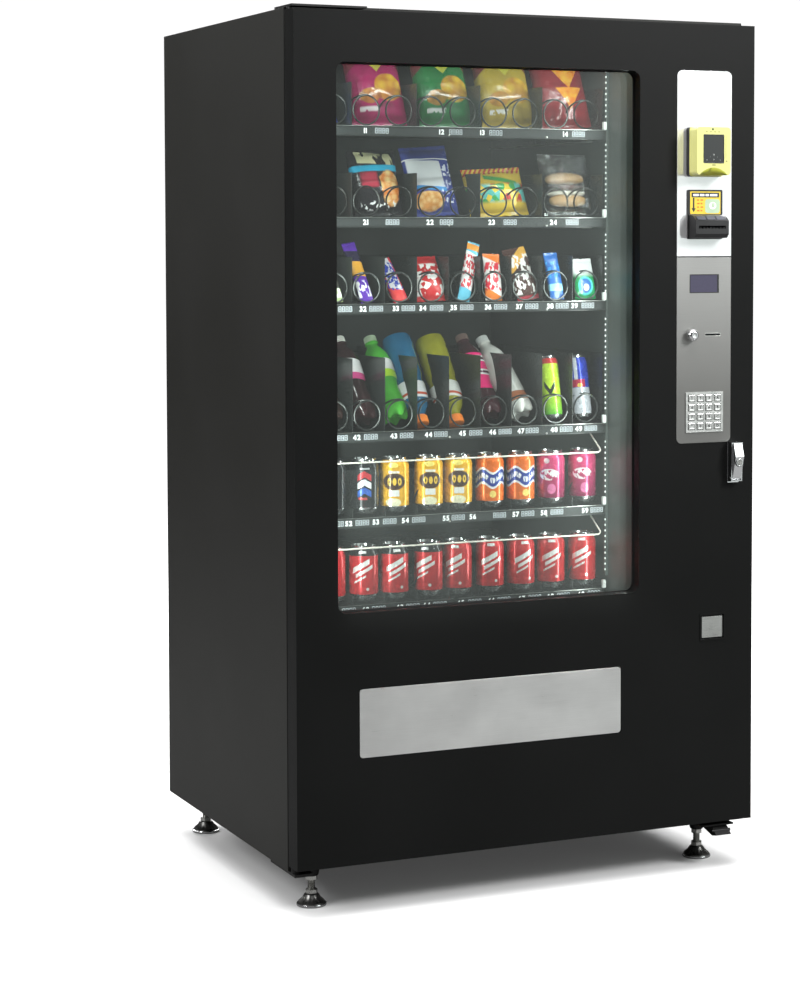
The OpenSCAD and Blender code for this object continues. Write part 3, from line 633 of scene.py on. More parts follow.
# ---------------------------------------------------------------- camera, lights, floor
def make_view():
    cd = bpy.data.cameras.new("camera")
    cd.sensor_width = 36
    cd.lens = 85.52
    cd.shift_x, cd.shift_y = -0.0596, -0.1425
    cd.clip_end = 100
    cam = bpy.data.objects.new("camera", cd)
    bpy.context.collection.objects.link(cam)
    cam.location = (-2.3558, -5.1267, 1.4650)
    az, el, roll = math.radians(24.79), math.radians(-3.01), math.radians(0.08)
    cam.rotation_euler = (Matrix.Rotation(-az, 4, "Z") @ Matrix.Rotation(math.pi / 2 + el, 4, "X") @ Matrix.Rotation(-roll, 4, "Z")).to_euler()
    bpy.context.scene.camera = cam

    def area(name, loc, aim, size, power, color=(1, 1, 1), spread=180, shape="RECTANGLE"):
        ld = bpy.data.lights.new(name, "AREA")
        ld.shape = shape
        ld.size, ld.size_y = size
        ld.energy = power
        ld.color = color
        ld.spread = math.radians(spread)
        o = bpy.data.objects.new(name, ld)
        bpy.context.collection.objects.link(o)
        o.location = loc
        o.rotation_euler = (Vector(aim) - Vector(loc)).to_track_quat("-Z", "Y").to_euler()
        o.visible_camera = False
        return o

    area("key", (3.3, -4.3, 4.3), (0.1, 0, 0.9), (1.8, 1.8), 360)
    area("fill", (-4.2, -1.2, 3.3), (-0.5, 0.2, 1.9), (2.0, 2.0), 150)
    area("top", (-0.3, 0.3, 5.2), (0, 0, 0), (6, 6), 640)
    area("back", (0.8, 4.6, 2.8), (0, 0.4, 0.8), (3.0, 2.5), 150)
    # inside: tubes behind the door's stiles, aimed at the stock
    a, b = P(88, 70, 1130), P(834, 70, 1130)
    area("tube_left", a, P(520, 330, 1130), (0.02, 1.25), 3.2, (0.93, 1, 0.97))
    area("tube_right", b, P(330, 330, 1130), (0.02, 1.25), 3.2, (0.93, 1, 0.97))
    area("tube_top", P(460, 80, 1765), P(460, 330, 1150), (0.7, 0.02), 1.3, (0.93, 1, 0.97))

    soft = area("front_soft", P(462, 58, 985), P(462, 330, 930), (0.68, 0.95), 3.4, (0.95, 1, 0.98))
    soft.visible_glossy = False

    w = bpy.data.worlds.new("studio")
    bpy.context.scene.world = w
    w.use_nodes = True
    t = w.node_tree
    bg, out = t.nodes["Background"], t.nodes["World Output"]
    bg.inputs[0].default_value = (1, 1, 1, 1)
    bg.inputs[1].default_value = 0.12
    seen = t.nodes.new("ShaderNodeBackground")
    seen.inputs[0].default_value = (1, 1, 1, 1)
    seen.inputs[1].default_value = 1.05
    lp, mx = t.nodes.new("ShaderNodeLightPath"), t.nodes.new("ShaderNodeMixShader")
    t.links.new(lp.outputs["Is Camera Ray"], mx.inputs[0])
    t.links.new(bg.outputs[0], mx.inputs[1])
    t.links.new(seen.outputs[0], mx.inputs[2])
    t.links.new(mx.outputs[0], out.inputs[0])

    fl = Tree("floor_white", (0.93, 0.93, 0.93), 0.8, Specular_IOR_Level=0.2)
    # the floor shows white to the lens and bounces less light than it shows
    fl.color(fl.mix(fl.ramp(fl.noise(0.7, 3), 0.3, 0.7), (0.15, 0.15, 0.15), (0.17, 0.17, 0.17)))
    em, df = fl.n("ShaderNodeEmission"), fl.n("ShaderNodeBsdfDiffuse")
    px, py, _ = fl.xyz()
    far = fl.f("SQRT", fl.f("ADD", fl.f("MULTIPLY", px, px), fl.f("MULTIPLY", py, py)))
    fl.put(em, 1, fl.ramp(far, 1.5, 4.4, 0.05, 1.0))
    df.inputs[0].default_value = (0.72, 0.72, 0.72, 1)
    ad, ms, lq = fl.n("ShaderNodeAddShader"), fl.n("ShaderNodeMixShader"), fl.n("ShaderNodeLightPath")
    fl.t.links.new(em.outputs[0], ad.inputs[0])
    fl.t.links.new(df.outputs[0], ad.inputs[1])
    fl.t.links.new(lq.outputs["Is Camera Ray"], ms.inputs[0])
    fl.t.links.new(fl.b.outputs[0], ms.inputs[1])
    fl.t.links.new(ad.outputs[0], ms.inputs[2])
    fl.t.links.new(ms.outputs[0], fl.t.nodes["Material Output"].inputs[0])
    me = bpy.data.meshes.new("floor")
    s = 40
    me.from_pydata([(-s, -s, 0), (s, -s, 0), (s, s, 0), (-s, s, 0)], [], [(0, 1, 2, 3)])
    me.materials.append(fl.m)
    f = bpy.data.objects.new("floor", me)
    bpy.context.collection.objects.link(f)
    f.location.z = cad_box[0][2] - 0.0003
    # a soft card to the right of the camera, which shows as the pale veil on the glass
    cm = Tree("card_glow", (0.02, 0.02, 0.02), 0.9, Emission_Strength=1.0)
    cx, _, cz = cm.xyz()
    g = cm.f("MULTIPLY", cm.ramp(cx, 0.2, 3.4), cm.ramp(cz, 0.4, 3.4, 0.75, 2.3))
    cm.put(cm.b, "Emission Strength", g)
    cm.put(cm.b, "Emission Color", cm.mix(cm.ramp(cm.noise(0.9, 2), 0.3, 0.7), (0.9, 1.0, 0.96), (0.97, 1.0, 0.99)))
    me = bpy.data.meshes.new("card")
    me.from_pydata([(0.2, 0, 0), (5.2, 0, 0), (5.2, 0, 4.2), (0.2, 0, 4.2)], [], [(0, 1, 2, 3)])
    me.materials.append(cm.m)
    c = bpy.data.objects.new("card", me)
    bpy.context.collection.objects.link(c)
    c.location = (0.3, -5.2, 0.05)
    c.visible_camera = False
    vs = bpy.context.scene.view_settings
    vs.view_transform = "Standard"
    vs.look = "None"
    vs.exposure = 0.0


make_view()


# ---------------------------------------------------------------- refined CAD nodes
refine("cabinet_shell", 0.9)
refine("door_shell", 0.9)
refine("top_hinge_plate", 0.8)
refine("bottom_hinge_bracket", 0.8)
refine("door_ramp", 0.8)
refine("upper_fascia", 0.5, 3)
refine("lower_fascia", 0.5, 3)
refine("delivery_flap", 0.55, 3)
refine("coin_flap", 0.3)
refine("coin_cup", 0.4)
refine("keypad_plate", 0.5, 3)
refine("lock_housing", 0.6, 3)
refine("lock_handle", 1.0, 3)
refine("lock_plug", 0.4)
refine("bill_validator", 0.8, 3)
refine("coin_mech", 0.6)
refine("control_box", 0.5)
refine("delivery_bin", 0.6)
refine("cooling_unit", 0.6, 2, [COMP, FINS, DARK], lambda c, n: 1 if (424 < c.x < 780 and 301 < c.y < 359 and abs(n.x) > 0.5) else (2 if c.x > 400 else 0))
# painted shade: down-facing faces low on the reader take the darker lemon copy
refine("card_reader", 1.3, 4, [YELLOW, BLACKP, LEMON_UNDERSIDE_SHADE],
       # painted shade: the card slot's inner walls take the black plastic
       lambda c, n: 1 if c.y > -14.9 or (c.y > -36.5 and c.y < -30 and abs(n.x) < 0.9 and c.x > 976.5 and c.x < 1036 and c.z > 1533 and c.z < 1591) else (2 if c.z < 1506 and abs(n.x) < 0.75 and n.z < -0.3 and n.y < -0.3 else 0))
for i in range(1, 7):
    refine(f"tray_{i}", 0.35, 2)


# ---------------------------------------------------------------- product spirals, smooth
TRAY_V = [L(f"tray_{i + 1}")[4] + 22 for i in range(6)]
S30 = L("spiral_30")
COL0 = (S30[0] + S30[1]) / 2
PITCH = 78.5
TURNS = 5
CY0, CY1 = S30[2] + 2.5, L("tray_1")[3] - 57.0
R = 33.0


def col(i):
    return COL0 + PITCH * i


def coil(pc, cx, cz, end, front=16.0):
    n = TURNS * 30
    path = []
    for i in range(n + 1):
        a = math.radians(90 + 360 * i / 30)
        r = R
        if i < 3:
            r = R - 1.2 * (3 - i) / 3
        t = i / 30
        d = front * t if t < 1 else front + (CY1 - CY0 - front) * (t - 1) / (TURNS - 1)
        path.append((cx + r * math.cos(a), CY0 + d, cz + r * math.sin(a)))
    # the back end turns in to the shaft
    for s, a, dy in ((0.93, 96, 1.2), (0.8, 103, 2.2), (0.6, 112, 3.0), (0.38, 120, 3.6), (0.12, 120, 4.0)):
        path.append((cx + R * s * math.cos(math.radians(a)), CY1 + dy, cz + R * s * math.sin(math.radians(a))))
    # rounded front end
    x, y, z = path[0]
    path = [(x + 0.9, y - 0.05, z)] + path
    rad = [0.9] + [2.0] * (len(path) - 1)
    pc.tube(path, rad, 8)
    pc.lathe([(0, 0), (4.4, 0), (5, 0.6), (5, end - CY1 - 3), (0, end - CY1 - 3)], (cx, CY1 + 3, cz), (0, 1, 0), 20)
    # coupler that grips the wire
    pc.lathe([(0, 0), (7.5, 0), (8.5, 1), (8.5, 5), (7.5, 6), (0, 6)], (cx, CY1 + 0.5, cz), (0, 1, 0), 20)


for i in range(6):
    dark = i not in (2, 3)
    pc = Piece(f"spirals_{i + 1}_fine", SPIRALD if dark else SPIRAL)
    for k in range(1 if i == 2 else 0, 10):
        coil(pc, col(k), TRAY_V[i] + 37, CY1 + 20, 16.0 if i < 4 else (CY1 - CY0) / TURNS)
    pc.done(f"tray_{i + 1}", (f"spirals_{i + 1}",))
pc = Piece("spiral_30_fine", SPIRAL)
coil(pc, col(0), TRAY_V[2] + 37, CY1 + 19.5)
pc.done("spiral_30", ("spiral_30",))


# ---------------------------------------------------------------- tray fronts: rails, labels, clips
T0 = L("tray_1")
# column number and price, in mm from the door's left edge, as they are stuck along each rail
LABELS = [
    {0: (84, 119), 1: (241, 281), 2: (426, 461), 3: (527, 561), 4: (738, 772)},
    {0: (84, 124), 1: (241, 306), 2: (397, 438), 3: (550, 597), 4: (707, 756)},
    {0: (82, 114), 1: (160, 192), 2: (234, 266), 3: (313, 344), 4: (379, 413), 5: (455, 488), 6: (541, 573), 7: (620, 652), 8: (699, 730), 9: (762, 797)},
    {0: (78, 111), 1: (147, 180), 2: (218, 252), 3: (307, 339), 4: (392, 423), 5: (476, 510), 6: (552, 584), 7: (624, 653), 8: (709, 741), 9: (773, 805)},
    {0: (72, 105), 1: (139, 170), 2: (198, 231), 3: (263, 297), 4: (335, 368), 5: (435, 466), 6: (502, 570), 7: (611, 642), 8: (683, 717), 9: (790, 821)},
    {0: (84, 116), 1: (160, 198), 2: (238, 270), 3: (321, 353), 4: (387, 420), 5: (472, 507), 6: (549, 581), 7: (626, 660), 8: (700, 734), 9: (780, 814)},
]
for i in range(6):
    v = TRAY_V[i]
    y = T0[2] + 1.5
    # the strip that the labels sit on
    pc = Piece(f"label_strip_{i + 1}", STRIP)
    pc.prism(rrect(T0[0] + 2, T0[1] - 8, v - 19.6, v - 1.7, 0.8, 2), y - 0.14, y - 0.02)
    pc.done(f"tray_{i + 1}")
    y -= 0.14
    # painted glow: the column numbers and price digits are emissive print
    pc = Piece(f"labels_{i + 1}", INK_WHITE_GLOWING, INK_PALE_GLOWING)
    for n, (cu, cb) in LABELS[i].items():
        if cu:
            write(pc, f"{i + 1}{n}", cu, y, v - 9.8, 11.2, 0.2)
        if cb:
            for d in range(4):
                seg8(pc, cb - 16 + 8.6 * d, y, v - 15.4, 5.4, 11, 1.0, 0.16, 1)
    pc.done(f"tray_{i + 1}")
    # a fine rib above the labels, and the screws that hold the rail
    y += 0.14
    pc = Piece(f"rail_trim_{i + 1}", SATIN, ZINC)
    pc.box(T0[0] + 1, T0[1] - 1, y - 2.0, y - 1.2, v + 0.1, v + 1.25)
    for cu in (130, 444, 690):
        pc.lathe([(2.6, 0), (2.5, 0.5), (1.6, 1.0), (0, 1.15)], (cu, y + 0.05, v - 17.9), (0, -1, 0), 14, 1)
    pc.done(f"tray_{i + 1}", bevel=0.15)
    # stop clip at the right end
    pc = Piece(f"tray_clip_{i + 1}", CLIP)
    pc.prism(rrect(T0[1] - 6.5, T0[1] + 1.2, v + 1.5, v + 20, 1.4, 3), y - 4.5, y + 4)
    pc.prism(rrect(T0[1] - 4.5, T0[1] - 1, v + 5, v + 16, 1, 3), y - 5.3, y - 4.4)
    pc.done(f"tray_{i + 1}", bevel=0.4)

# light-emitting dots on the strip beside the trays
st = L("led_strips")
pc = Piece("led_dots", LED, CLIP)
v = st[4] + 12
while v < st[5] - 8:
    if min(abs(v + 4 - (t - 2)) for t in TRAY_V) > 26:
        pc.prism(rrect(st[1] - 8.6, st[1] - 6.0, v, v + 4.6, 0.8, 2), 188.9, 190.4)
    v += 13
pc.done("cabinet")


# ---------------------------------------------------------------- stock (generic goods, no marks)
def ellipse(t, px, pz, cx, cz, rx, rz, soft=0.12):
    a = t.f("DIVIDE", t.f("SUBTRACT", px, cx), rx)
    b = t.f("DIVIDE", t.f("SUBTRACT", pz, cz), rz)
    d = t.f("ADD", t.f("MULTIPLY", a, a), t.f("MULTIPLY", b, b))
    return t.ramp(d, 1 - soft, 1 + soft, 1.0, 0.0)


def slab(t, px, pz, x0, x1, z0, z1, soft=0.0006, slope=0.0):
    q = t.f("ADD", pz, t.f("MULTIPLY", px, slope)) if slope else pz
    return t.f("MULTIPLY", t.band(px, x0, x1, soft), t.band(q, z0, z1, soft))


def chips(t, x, z, cx, cz, rx, rz, c, a, b, scale=70):
    """A pile of crisps inside an ellipse."""
    n = t.noise(40, 2)
    m = ellipse(t, t.f("ADD", x, t.ramp(n, 0, 1, -0.012, 0.012)), z, cx, cz, rx, rz)
    cell = t.cells(scale)
    return t.mix(m, c, t.mix(t.ramp(cell, 0.1, 0.75), a, b))


def film(name, base, draw, rough=0.2, metal=0.0):
    """Printed glossy film. draw(tree, x, z, colour) returns the colour."""
    t = Tree(name, base, rough, metal, Coat_Weight=0.35, Coat_Roughness=0.1)
    x, y, z = t.xyz()
    n = t.noise(18, 3)
    c = t.mix(t.ramp(n, 0.35, 0.65), tuple(q * 0.82 for q in base), base)
    t.color(draw(t, x, z, c))
    t.rough(t.ramp(n, 0.3, 0.7, rough * 0.7, rough * 1.5))
    t.bump(t.noise(32, 4, t.scale((1, 1, 0.45)), 0.6, 0.6), 0.004, 0.55)
    t.bump(t.noise(160, 2), 0.0006, 0.25)
    return t.m


def pouch(name, mats, w, h, depth, body, u, y, v, lean=20.0, roll=0.0, yaw=0.0, crimp=9.0, seed=0, waist=0.05, n=44, m=40, round_=0.75):
    """A sealed film bag: crowned faces, crimped ends with a zigzag edge, creases running in from the seals."""
    verts, faces = [], []
    for i in range(m + 1):
        s = i / m
        z = h * s
        e = min(z, h - z)
        if e < crimp:
            th = 0.35 + 0.25 * math.sin(e * 2.2)
        else:
            q = (e - crimp) / (h / 2 - crimp)
            th = 0.5 + depth / 2 * (1 - (1 - min(1, q)) ** 2.2) ** 0.62
        if s < 0.5:
            th *= 1.08
        ww = w * (1 - waist * math.sin(math.pi * s))
        for j in range(n):
            a = 2 * math.pi * j / n
            cx, sy = math.cos(a), math.sin(a)
            x = ww / 2 * math.copysign(abs(cx) ** 0.86, cx)
            yy = th * math.copysign(abs(sy) ** round_, sy)
            zz = z
            if e < crimp * 0.35 and abs(sy) > 0.05:
                zz += (1.1 if j % 2 else -1.1) * (1 if z > h / 2 else -1) * (1 - e / (crimp * 0.35))
            fade = max(0.0, 1 - abs(e - crimp) / (h * 0.22))
            cr = noise.noise(Vector((x * 0.085, seed * 3.1 + (7 if z > h / 2 else 0) + (0 if sy < 0 else 5), z * 0.006)))
            yy += cr * min(depth * 0.16, 4.2) * fade * abs(sy) * (1 if e >= crimp else 0.4)
            yy += noise.noise(Vector((x * 0.035 + seed, z * 0.03, 1.7 if sy < 0 else 4.2))) * depth * 0.07 * abs(sy) * min(1, e / (crimp * 2))
            verts.append(Vector((x * MM, yy * MM, zz * MM)))
    for i in range(m):
        for j in range(n):
            o, p = i * n, (i + 1) * n
            faces.append((o + j, o + (j + 1) % n, p + (j + 1) % n, p + j))
    faces.append(tuple(range(n - 1, -1, -1)))
    faces.append(tuple(range(m * n, m * n + n)))
    me = bpy.data.meshes.new(name)
    me.from_pydata([tuple(q) for q in verts], [], faces)
    for x in mats:
        me.materials.append(x)
    me.polygons.foreach_set("use_smooth", [True] * len(me.polygons))
    me.set_sharp_from_angle(angle=math.radians(60))
    return put(name, me, body, u, y, v, lean, roll, yaw)


def put(name, me, body, u, y, v, lean=0.0, roll=0.0, yaw=0.0):
    o = bpy.data.objects.new(name, me)
    bpy.context.collection.objects.link(o)
    o.matrix_world = (Matrix.Translation(P(u, y, v)) @ Matrix.Rotation(math.radians(roll), 4, "Y")
                      @ Matrix.Rotation(math.radians(-lean), 4, "X") @ Matrix.Rotation(math.radians(yaw), 4, "Z"))
    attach(o, body)
    return o


def turned(name, mats, profile, kinds, n=48, mod=None, angle=35):
    """A turned body about its own Z axis, in mm. mod(angle, r, z) gives a new (r, z)."""
    vs, fs, ks, rings = [], [], [], []
    for r, z in profile:
        if r < 1e-6:
            rings.append([len(vs)])
            vs.append((0, 0, z * MM))
        else:
            rings.append(list(range(len(vs), len(vs) + n)))
            for j in range(n):
                a = 2 * math.pi * j / n
                rr, zz = mod(a, r, z) if mod else (r, z)
                vs.append((rr * math.cos(a) * MM, rr * math.sin(a) * MM, zz * MM))
    for i in range(len(rings) - 1):
        p, q = rings[i], rings[i + 1]
        for j in range(n):
            w = (j + 1) % n
            if len(p) == 1:
                fs.append((p[0], q[w], q[j]))
            elif len(q) == 1:
                fs.append((p[j], p[w], q[0]))
            else:
                fs.append((p[j], p[w], q[w], q[j]))
            ks.append(kinds[i])
    me = bpy.data.meshes.new(name)
    me.from_pydata(vs, [], fs)
    for m in mats:
        me.materials.append(m)
    me.polygons.foreach_set("material_index", ks)
    me.polygons.foreach_set("use_smooth", [True] * len(fs))
    bm = bmesh.new()
    bm.from_mesh(me)
    bmesh.ops.recalc_face_normals(bm, faces=bm.faces)
    bm.to_mesh(me)
    bm.free()
    me.set_sharp_from_angle(angle=math.radians(angle))
    return me


LID = metal("can_lid", (0.78, 0.79, 0.8), 0.22, 90, 0.05)


def around(t, r=0.033):
    """Arc length round a can, 0 at its front, and height."""
    x, y, z = t.xyz()
    a = t.f("ARCTAN2", x, t.f("MULTIPLY", y, -1.0))
    return t.f("MULTIPLY", a, r), z


def can_print(name, base, draw, r=0.033, metalness=0.35, rough=0.24):
    t = Tree(name, base, rough, metalness, Coat_Weight=0.3, Coat_Roughness=0.12)
    a, z = around(t, r)
    n = t.noise(60, 3)
    c = t.mix(t.ramp(n, 0.35, 0.65), tuple(q * 0.88 for q in base), base)
    t.color(draw(t, a, z, c))
    t.rough(t.ramp(n, 0.3, 0.7, rough * 0.8, rough * 1.3))
    t.bump(t.noise(500, 2), 0.00004, 0.4)
    return t.m


def d_yellow(t, a, z, c):
    c = t.mix(ellipse(t, a, z, 0.004, 0.069, 0.027, 0.019), c, (0.055, 0.02, 0.01))
    for k in (-0.011, 0.001, 0.013):
        c = t.mix(ellipse(t, a, z, 0.004 + k, 0.069, 0.0045, 0.0085), c, (0.95, 0.6, 0.06))
    for k in (-0.011, 0.013):
        c = t.mix(ellipse(t, a, z, 0.004 + k, 0.069, 0.0017, 0.004), c, (0.055, 0.02, 0.01))
    c = t.mix(slab(t, a, z, -0.008, 0.016, 0.036, 0.05), c, (0.85, 0.85, 0.82))
    c = t.mix(slab(t, a, z, -0.008, 0.016, 0.088, 0.093), c, (0.9, 0.88, 0.8))
    c = t.mix(ellipse(t, a, z, 0.002, 0.022, 0.018, 0.01), c, (0.9, 0.86, 0.6))
    return t.mix(ellipse(t, a, z, 0.002, 0.106, 0.012, 0.006), c, (0.98, 0.8, 0.2))


def d_black(t, a, z, c):
    w = t.f("MULTIPLY", t.f("ABSOLUTE", a), 0.55)
    q = t.f("ADD", z, w)
    c = t.mix(t.f("MULTIPLY", t.band(q, 0.082, 0.096), t.band(a, -0.016, 0.016)), c, (0.55, 0.03, 0.04))
    c = t.mix(t.f("MULTIPLY", t.band(q, 0.064, 0.078), t.band(a, -0.016, 0.016)), c, (0.8, 0.82, 0.85))
    c = t.mix(t.f("MULTIPLY", t.band(q, 0.046, 0.06), t.band(a, -0.016, 0.016)), c, (0.03, 0.12, 0.5))
    c = t.mix(slab(t, a, z, -0.014, 0.006, 0.032, 0.037), c, (0.6, 0.08, 0.08))
    return t.mix(slab(t, a, z, -0.01, 0.012, 0.1, 0.103), c, (0.7, 0.72, 0.74))


def d_orange(t, a, z, c):
    wv = t.f("MULTIPLY", t.f("SINE", t.f("MULTIPLY", a, 130.0)), 0.006)
    q = t.f("ADD", z, wv)
    c = t.mix(t.band(q, 0.048, 0.086), c, (0.9, 0.9, 0.92))
    c = t.mix(t.band(q, 0.053, 0.081), c, (0.02, 0.05, 0.3))
    c = t.mix(t.f("MULTIPLY", t.band(q, 0.061, 0.073), t.ramp(t.noise(260, 1, t.scale((1, 1, 0.2))), 0.46, 0.5)), c, (0.92, 0.92, 0.94))
    return t.mix(ellipse(t, a, z, 0.012, 0.03, 0.008, 0.008), c, (0.99, 0.75, 0.2))


def d_pink(t, a, z, c):
    c = t.mix(t.ramp(z, 0.02, 0.1), (0.25, 0.01, 0.07), c)
    n = t.noise(85, 2)
    c = t.mix(t.f("MULTIPLY", ellipse(t, a, z, 0.0, 0.068, 0.024, 0.013), t.ramp(n, 0.44, 0.48)), c, (0.9, 0.88, 0.9))
    c = t.mix(ellipse(t, a, z, -0.006, 0.1, 0.007, 0.006), c, (0.9, 0.75, 0.82))
    return t.mix(ellipse(t, a, z, 0.006, 0.035, 0.01, 0.012), c, (0.75, 0.2, 0.4))


def d_red(t, a, z, c, top=False):
    q = t.f("ADD", z, t.f("MULTIPLY", a, -0.55))
    c = t.mix(t.f("MULTIPLY", t.band(q, 0.074, 0.086), t.band(a, -0.024, 0.016)), c, (0.86, 0.85, 0.84))
    c = t.mix(t.f("MULTIPLY", t.band(q, 0.06, 0.068), t.band(a, -0.016, 0.024)), c, (0.86, 0.85, 0.84))
    c = t.mix(t.f("MULTIPLY", t.band(q, 0.049, 0.0535), t.band(a, -0.02, 0.008)), c, (0.86, 0.85, 0.84))
    c = t.mix(ellipse(t, a, z, 0.012, 0.026, 0.0035, 0.0035), c, (0.86, 0.85, 0.84))
    if top:
        c = t.mix(t.ramp(z, 0.1, 0.1012), c, (0.012, 0.012, 0.013))
    return t.mix(slab(t, a, z, -0.009, 0.009, 0.106, 0.112), c, (0.86, 0.86, 0.86))


CANS = {
    "yellow": can_print("can_yellow", (0.9, 0.47, 0.015), d_yellow),
    "black": can_print("can_black", (0.012, 0.013, 0.015), d_black),
    "orange": can_print("can_orange", (0.86, 0.17, 0.01), d_orange),
    "pink": can_print("can_pink", (0.72, 0.06, 0.2), d_pink),
    "red": can_print("can_red", (0.6, 0.012, 0.018), d_red),
    "redtop": can_print("can_red_top", (0.6, 0.012, 0.018), lambda t, a, z, c: d_red(t, a, z, c, True)),
}
CAN_P = [(0, 7), (10, 6.2), (20, 2.5), (23.4, 0), (25.4, 0.1), (27.2, 2.2), (29.4, 6.2), (32, 10.4), (33, 14.5), (33, 60), (33, 102), (32.6, 105),
         (31.2, 108.6), (29, 113.4), (27.4, 117.6), (26.8, 119.8), (27.6, 121.2), (27.9, 122.3), (27.3, 123.2), (26.4, 122.9), (25.9, 121.2),
         (25.2, 117.6), (24, 116.6), (22.4, 117.6), (0, 117.9)]
CAN_K = [1] * 8 + [0] * 6 + [1] * 10


def can(name, kind, body, u, y, v, yaw=0.0):
    me = turned(name, [CANS[kind], LID], CAN_P, CAN_K, 56)
    # tab and mouth on the lid
    bm = bmesh.new()
    bm.from_mesh(me)
    for rx, ry, cy, z0, z1 in ((7.5, 10.5, 8, 117.4, 118.9), (8.2, 6, -11, 117.2, 118.1)):
        ring = [[bm.verts.new((rx * math.cos(a) * MM, (cy + ry * math.sin(a)) * MM, z * MM)) for a in [2 * math.pi * j / 20 for j in range(20)]] for z in (z0, z1)]
        for j in range(20):
            f = bm.faces.new((ring[0][j], ring[0][(j + 1) % 20], ring[1][(j + 1) % 20], ring[1][j]))
            f.material_index = 1
        for f in (bm.faces.new(ring[1]), bm.faces.new(ring[0][::-1])):
            f.material_index = 1
    bm.to_mesh(me)
    bm.free()
    return put(name, me, body, u, y, v, 0, 0, yaw)


ROW5 = [(2, 251, "black"), (3, 325, "yellow"), (4, 409, "yellow"), (5, 482, "yellow"), (6, 562, "orange"), (7, 641, "orange"), (8, 719, "pink"), (9, 801, "pink")]
for k, u, kind in [(0, 95, "black"), (1, 172, "black")] + ROW5:
    can(f"can_5{k}", kind, "tray_5", u, 228, TRAY_V[4] + 8, -24 + rng.uniform(-9, 9))
for k, u, kind in [(0, 94, "redtop"), (1, 170, "red"), (2, 249, "redtop"), (3, 323, "redtop"), (4, 408, "redtop"), (5, 481, "red"), (6, 562, "red"), (7, 641, "red"), (8, 719, "red"), (9, 801, "red")]:
    can(f"can_6{k}", kind, "tray_6", u, 228, TRAY_V[5] + 8, -24 + rng.uniform(-20, 20))


def slim(name, mat, body, u, y, v, lean, yaw=0.0, roll=0.0):
    p = [(0, 5), (16, 4), (19, 0), (21, 0), (22.6, 2.2), (25.4, 8), (26.5, 13), (26.5, 70), (26.5, 128), (25.6, 133), (23.6, 140), (22.8, 142.6),
         (23.6, 144), (23.4, 145.6), (22.2, 145.2), (21.4, 141), (20, 140.4), (0, 140.8)]
    return put(name, turned(name, [mat, LID], p, [1] * 5 + [0] * 5 + [1] * 7, 48), body, u, y, v, lean, roll, yaw)


def d_slim1(t, a, z, c):
    c = t.mix(t.ramp(z, 0.0, 0.06), (0.05, 0.42, 0.04), c)
    q = t.f("ADD", z, t.f("MULTIPLY", t.f("ABSOLUTE", a), -1.6))
    c = t.mix(t.f("MULTIPLY", t.band(q, 0.052, 0.066), t.band(a, -0.013, 0.013)), c, (0.015, 0.03, 0.012))
    return t.mix(t.ramp(z, 0.126, 0.128), c, (0.5, 0.03, 0.03))


def d_slim2(t, a, z, c):
    q = t.f("ADD", z, t.f("MULTIPLY", a, 0.7))
    c = t.mix(t.ramp(z, 0.068, 0.07), (0.62, 0.64, 0.7), c)
    c = t.mix(t.f("MULTIPLY", t.band(z, 0.07, 0.14), t.band(a, -0.0055, 0.003)), c, (0.7, 0.73, 0.8))
    c = t.mix(slab(t, a, z, -0.02, 0.02, 0.07, 0.088), c, (0.5, 0.02, 0.07))
    return t.mix(ellipse(t, a, z, 0.006, 0.074, 0.006, 0.005), c, (0.85, 0.6, 0.12))


slim("slim_48", can_print("slim_green", (0.55, 0.8, 0.04), d_slim1, 0.0265, 0.25), "tray_4", 725, 232, TRAY_V[3] + 11, 12, -22)
slim("slim_49", can_print("slim_blue", (0.02, 0.05, 0.5), d_slim2, 0.0265, 0.4), "tray_4", 801, 232, TRAY_V[3] + 11, 12, -30)


def bottle_mat(name, liquid, bands, rough=0.12):
    """Filled clear bottle: deep glossy colour with a label printed between heights. bands: (z0, z1, colour)."""
    t = Tree(name, liquid, rough, Coat_Weight=0.6, Coat_Roughness=0.04, Specular_IOR_Level=0.6)
    a, z = around(t)
    n = t.noise(30, 2)
    c = t.mix(t.ramp(n, 0.3, 0.7), tuple(q * 0.75 for q in liquid), tuple(min(1, q * 1.12) for q in liquid))
    wob = t.f("ADD", z, t.f("MULTIPLY", t.f("SINE", t.f("MULTIPLY", a, 95.0)), 0.0015))
    for z0, z1, col_ in bands:
        c = t.mix(t.band(wob, z0, z1, 0.0005), c, col_)
    t.color(c)
    t.rough(t.ramp(n, 0.3, 0.7, rough * 0.7, rough * 1.5))
    t.bump(t.noise(26, 2), 0.002, 0.2)
    return t.m


def cap_mat(name, c):
    return plastic(name, c, 0.3, 900, 0.00005, 0.06, 0.5, 0.2)


def petal(a, r, z):
    if z < 26 and r > 10:
        k = (1 - z / 26) ** 1.2
        d = (0.5 - 0.5 * math.cos(5 * a)) ** 1.4
        return r * (1 - 0.2 * k * (1 - d)), z + 7.5 * k * (1 - d) * (1 if r < 33 else 0.3)
    return r, z


def cap_mod(n):
    def f(a, r, z):
        j = round(a / (2 * math.pi / n))
        return (r - (0.45 if j % 2 else 0.0), z)
    return f


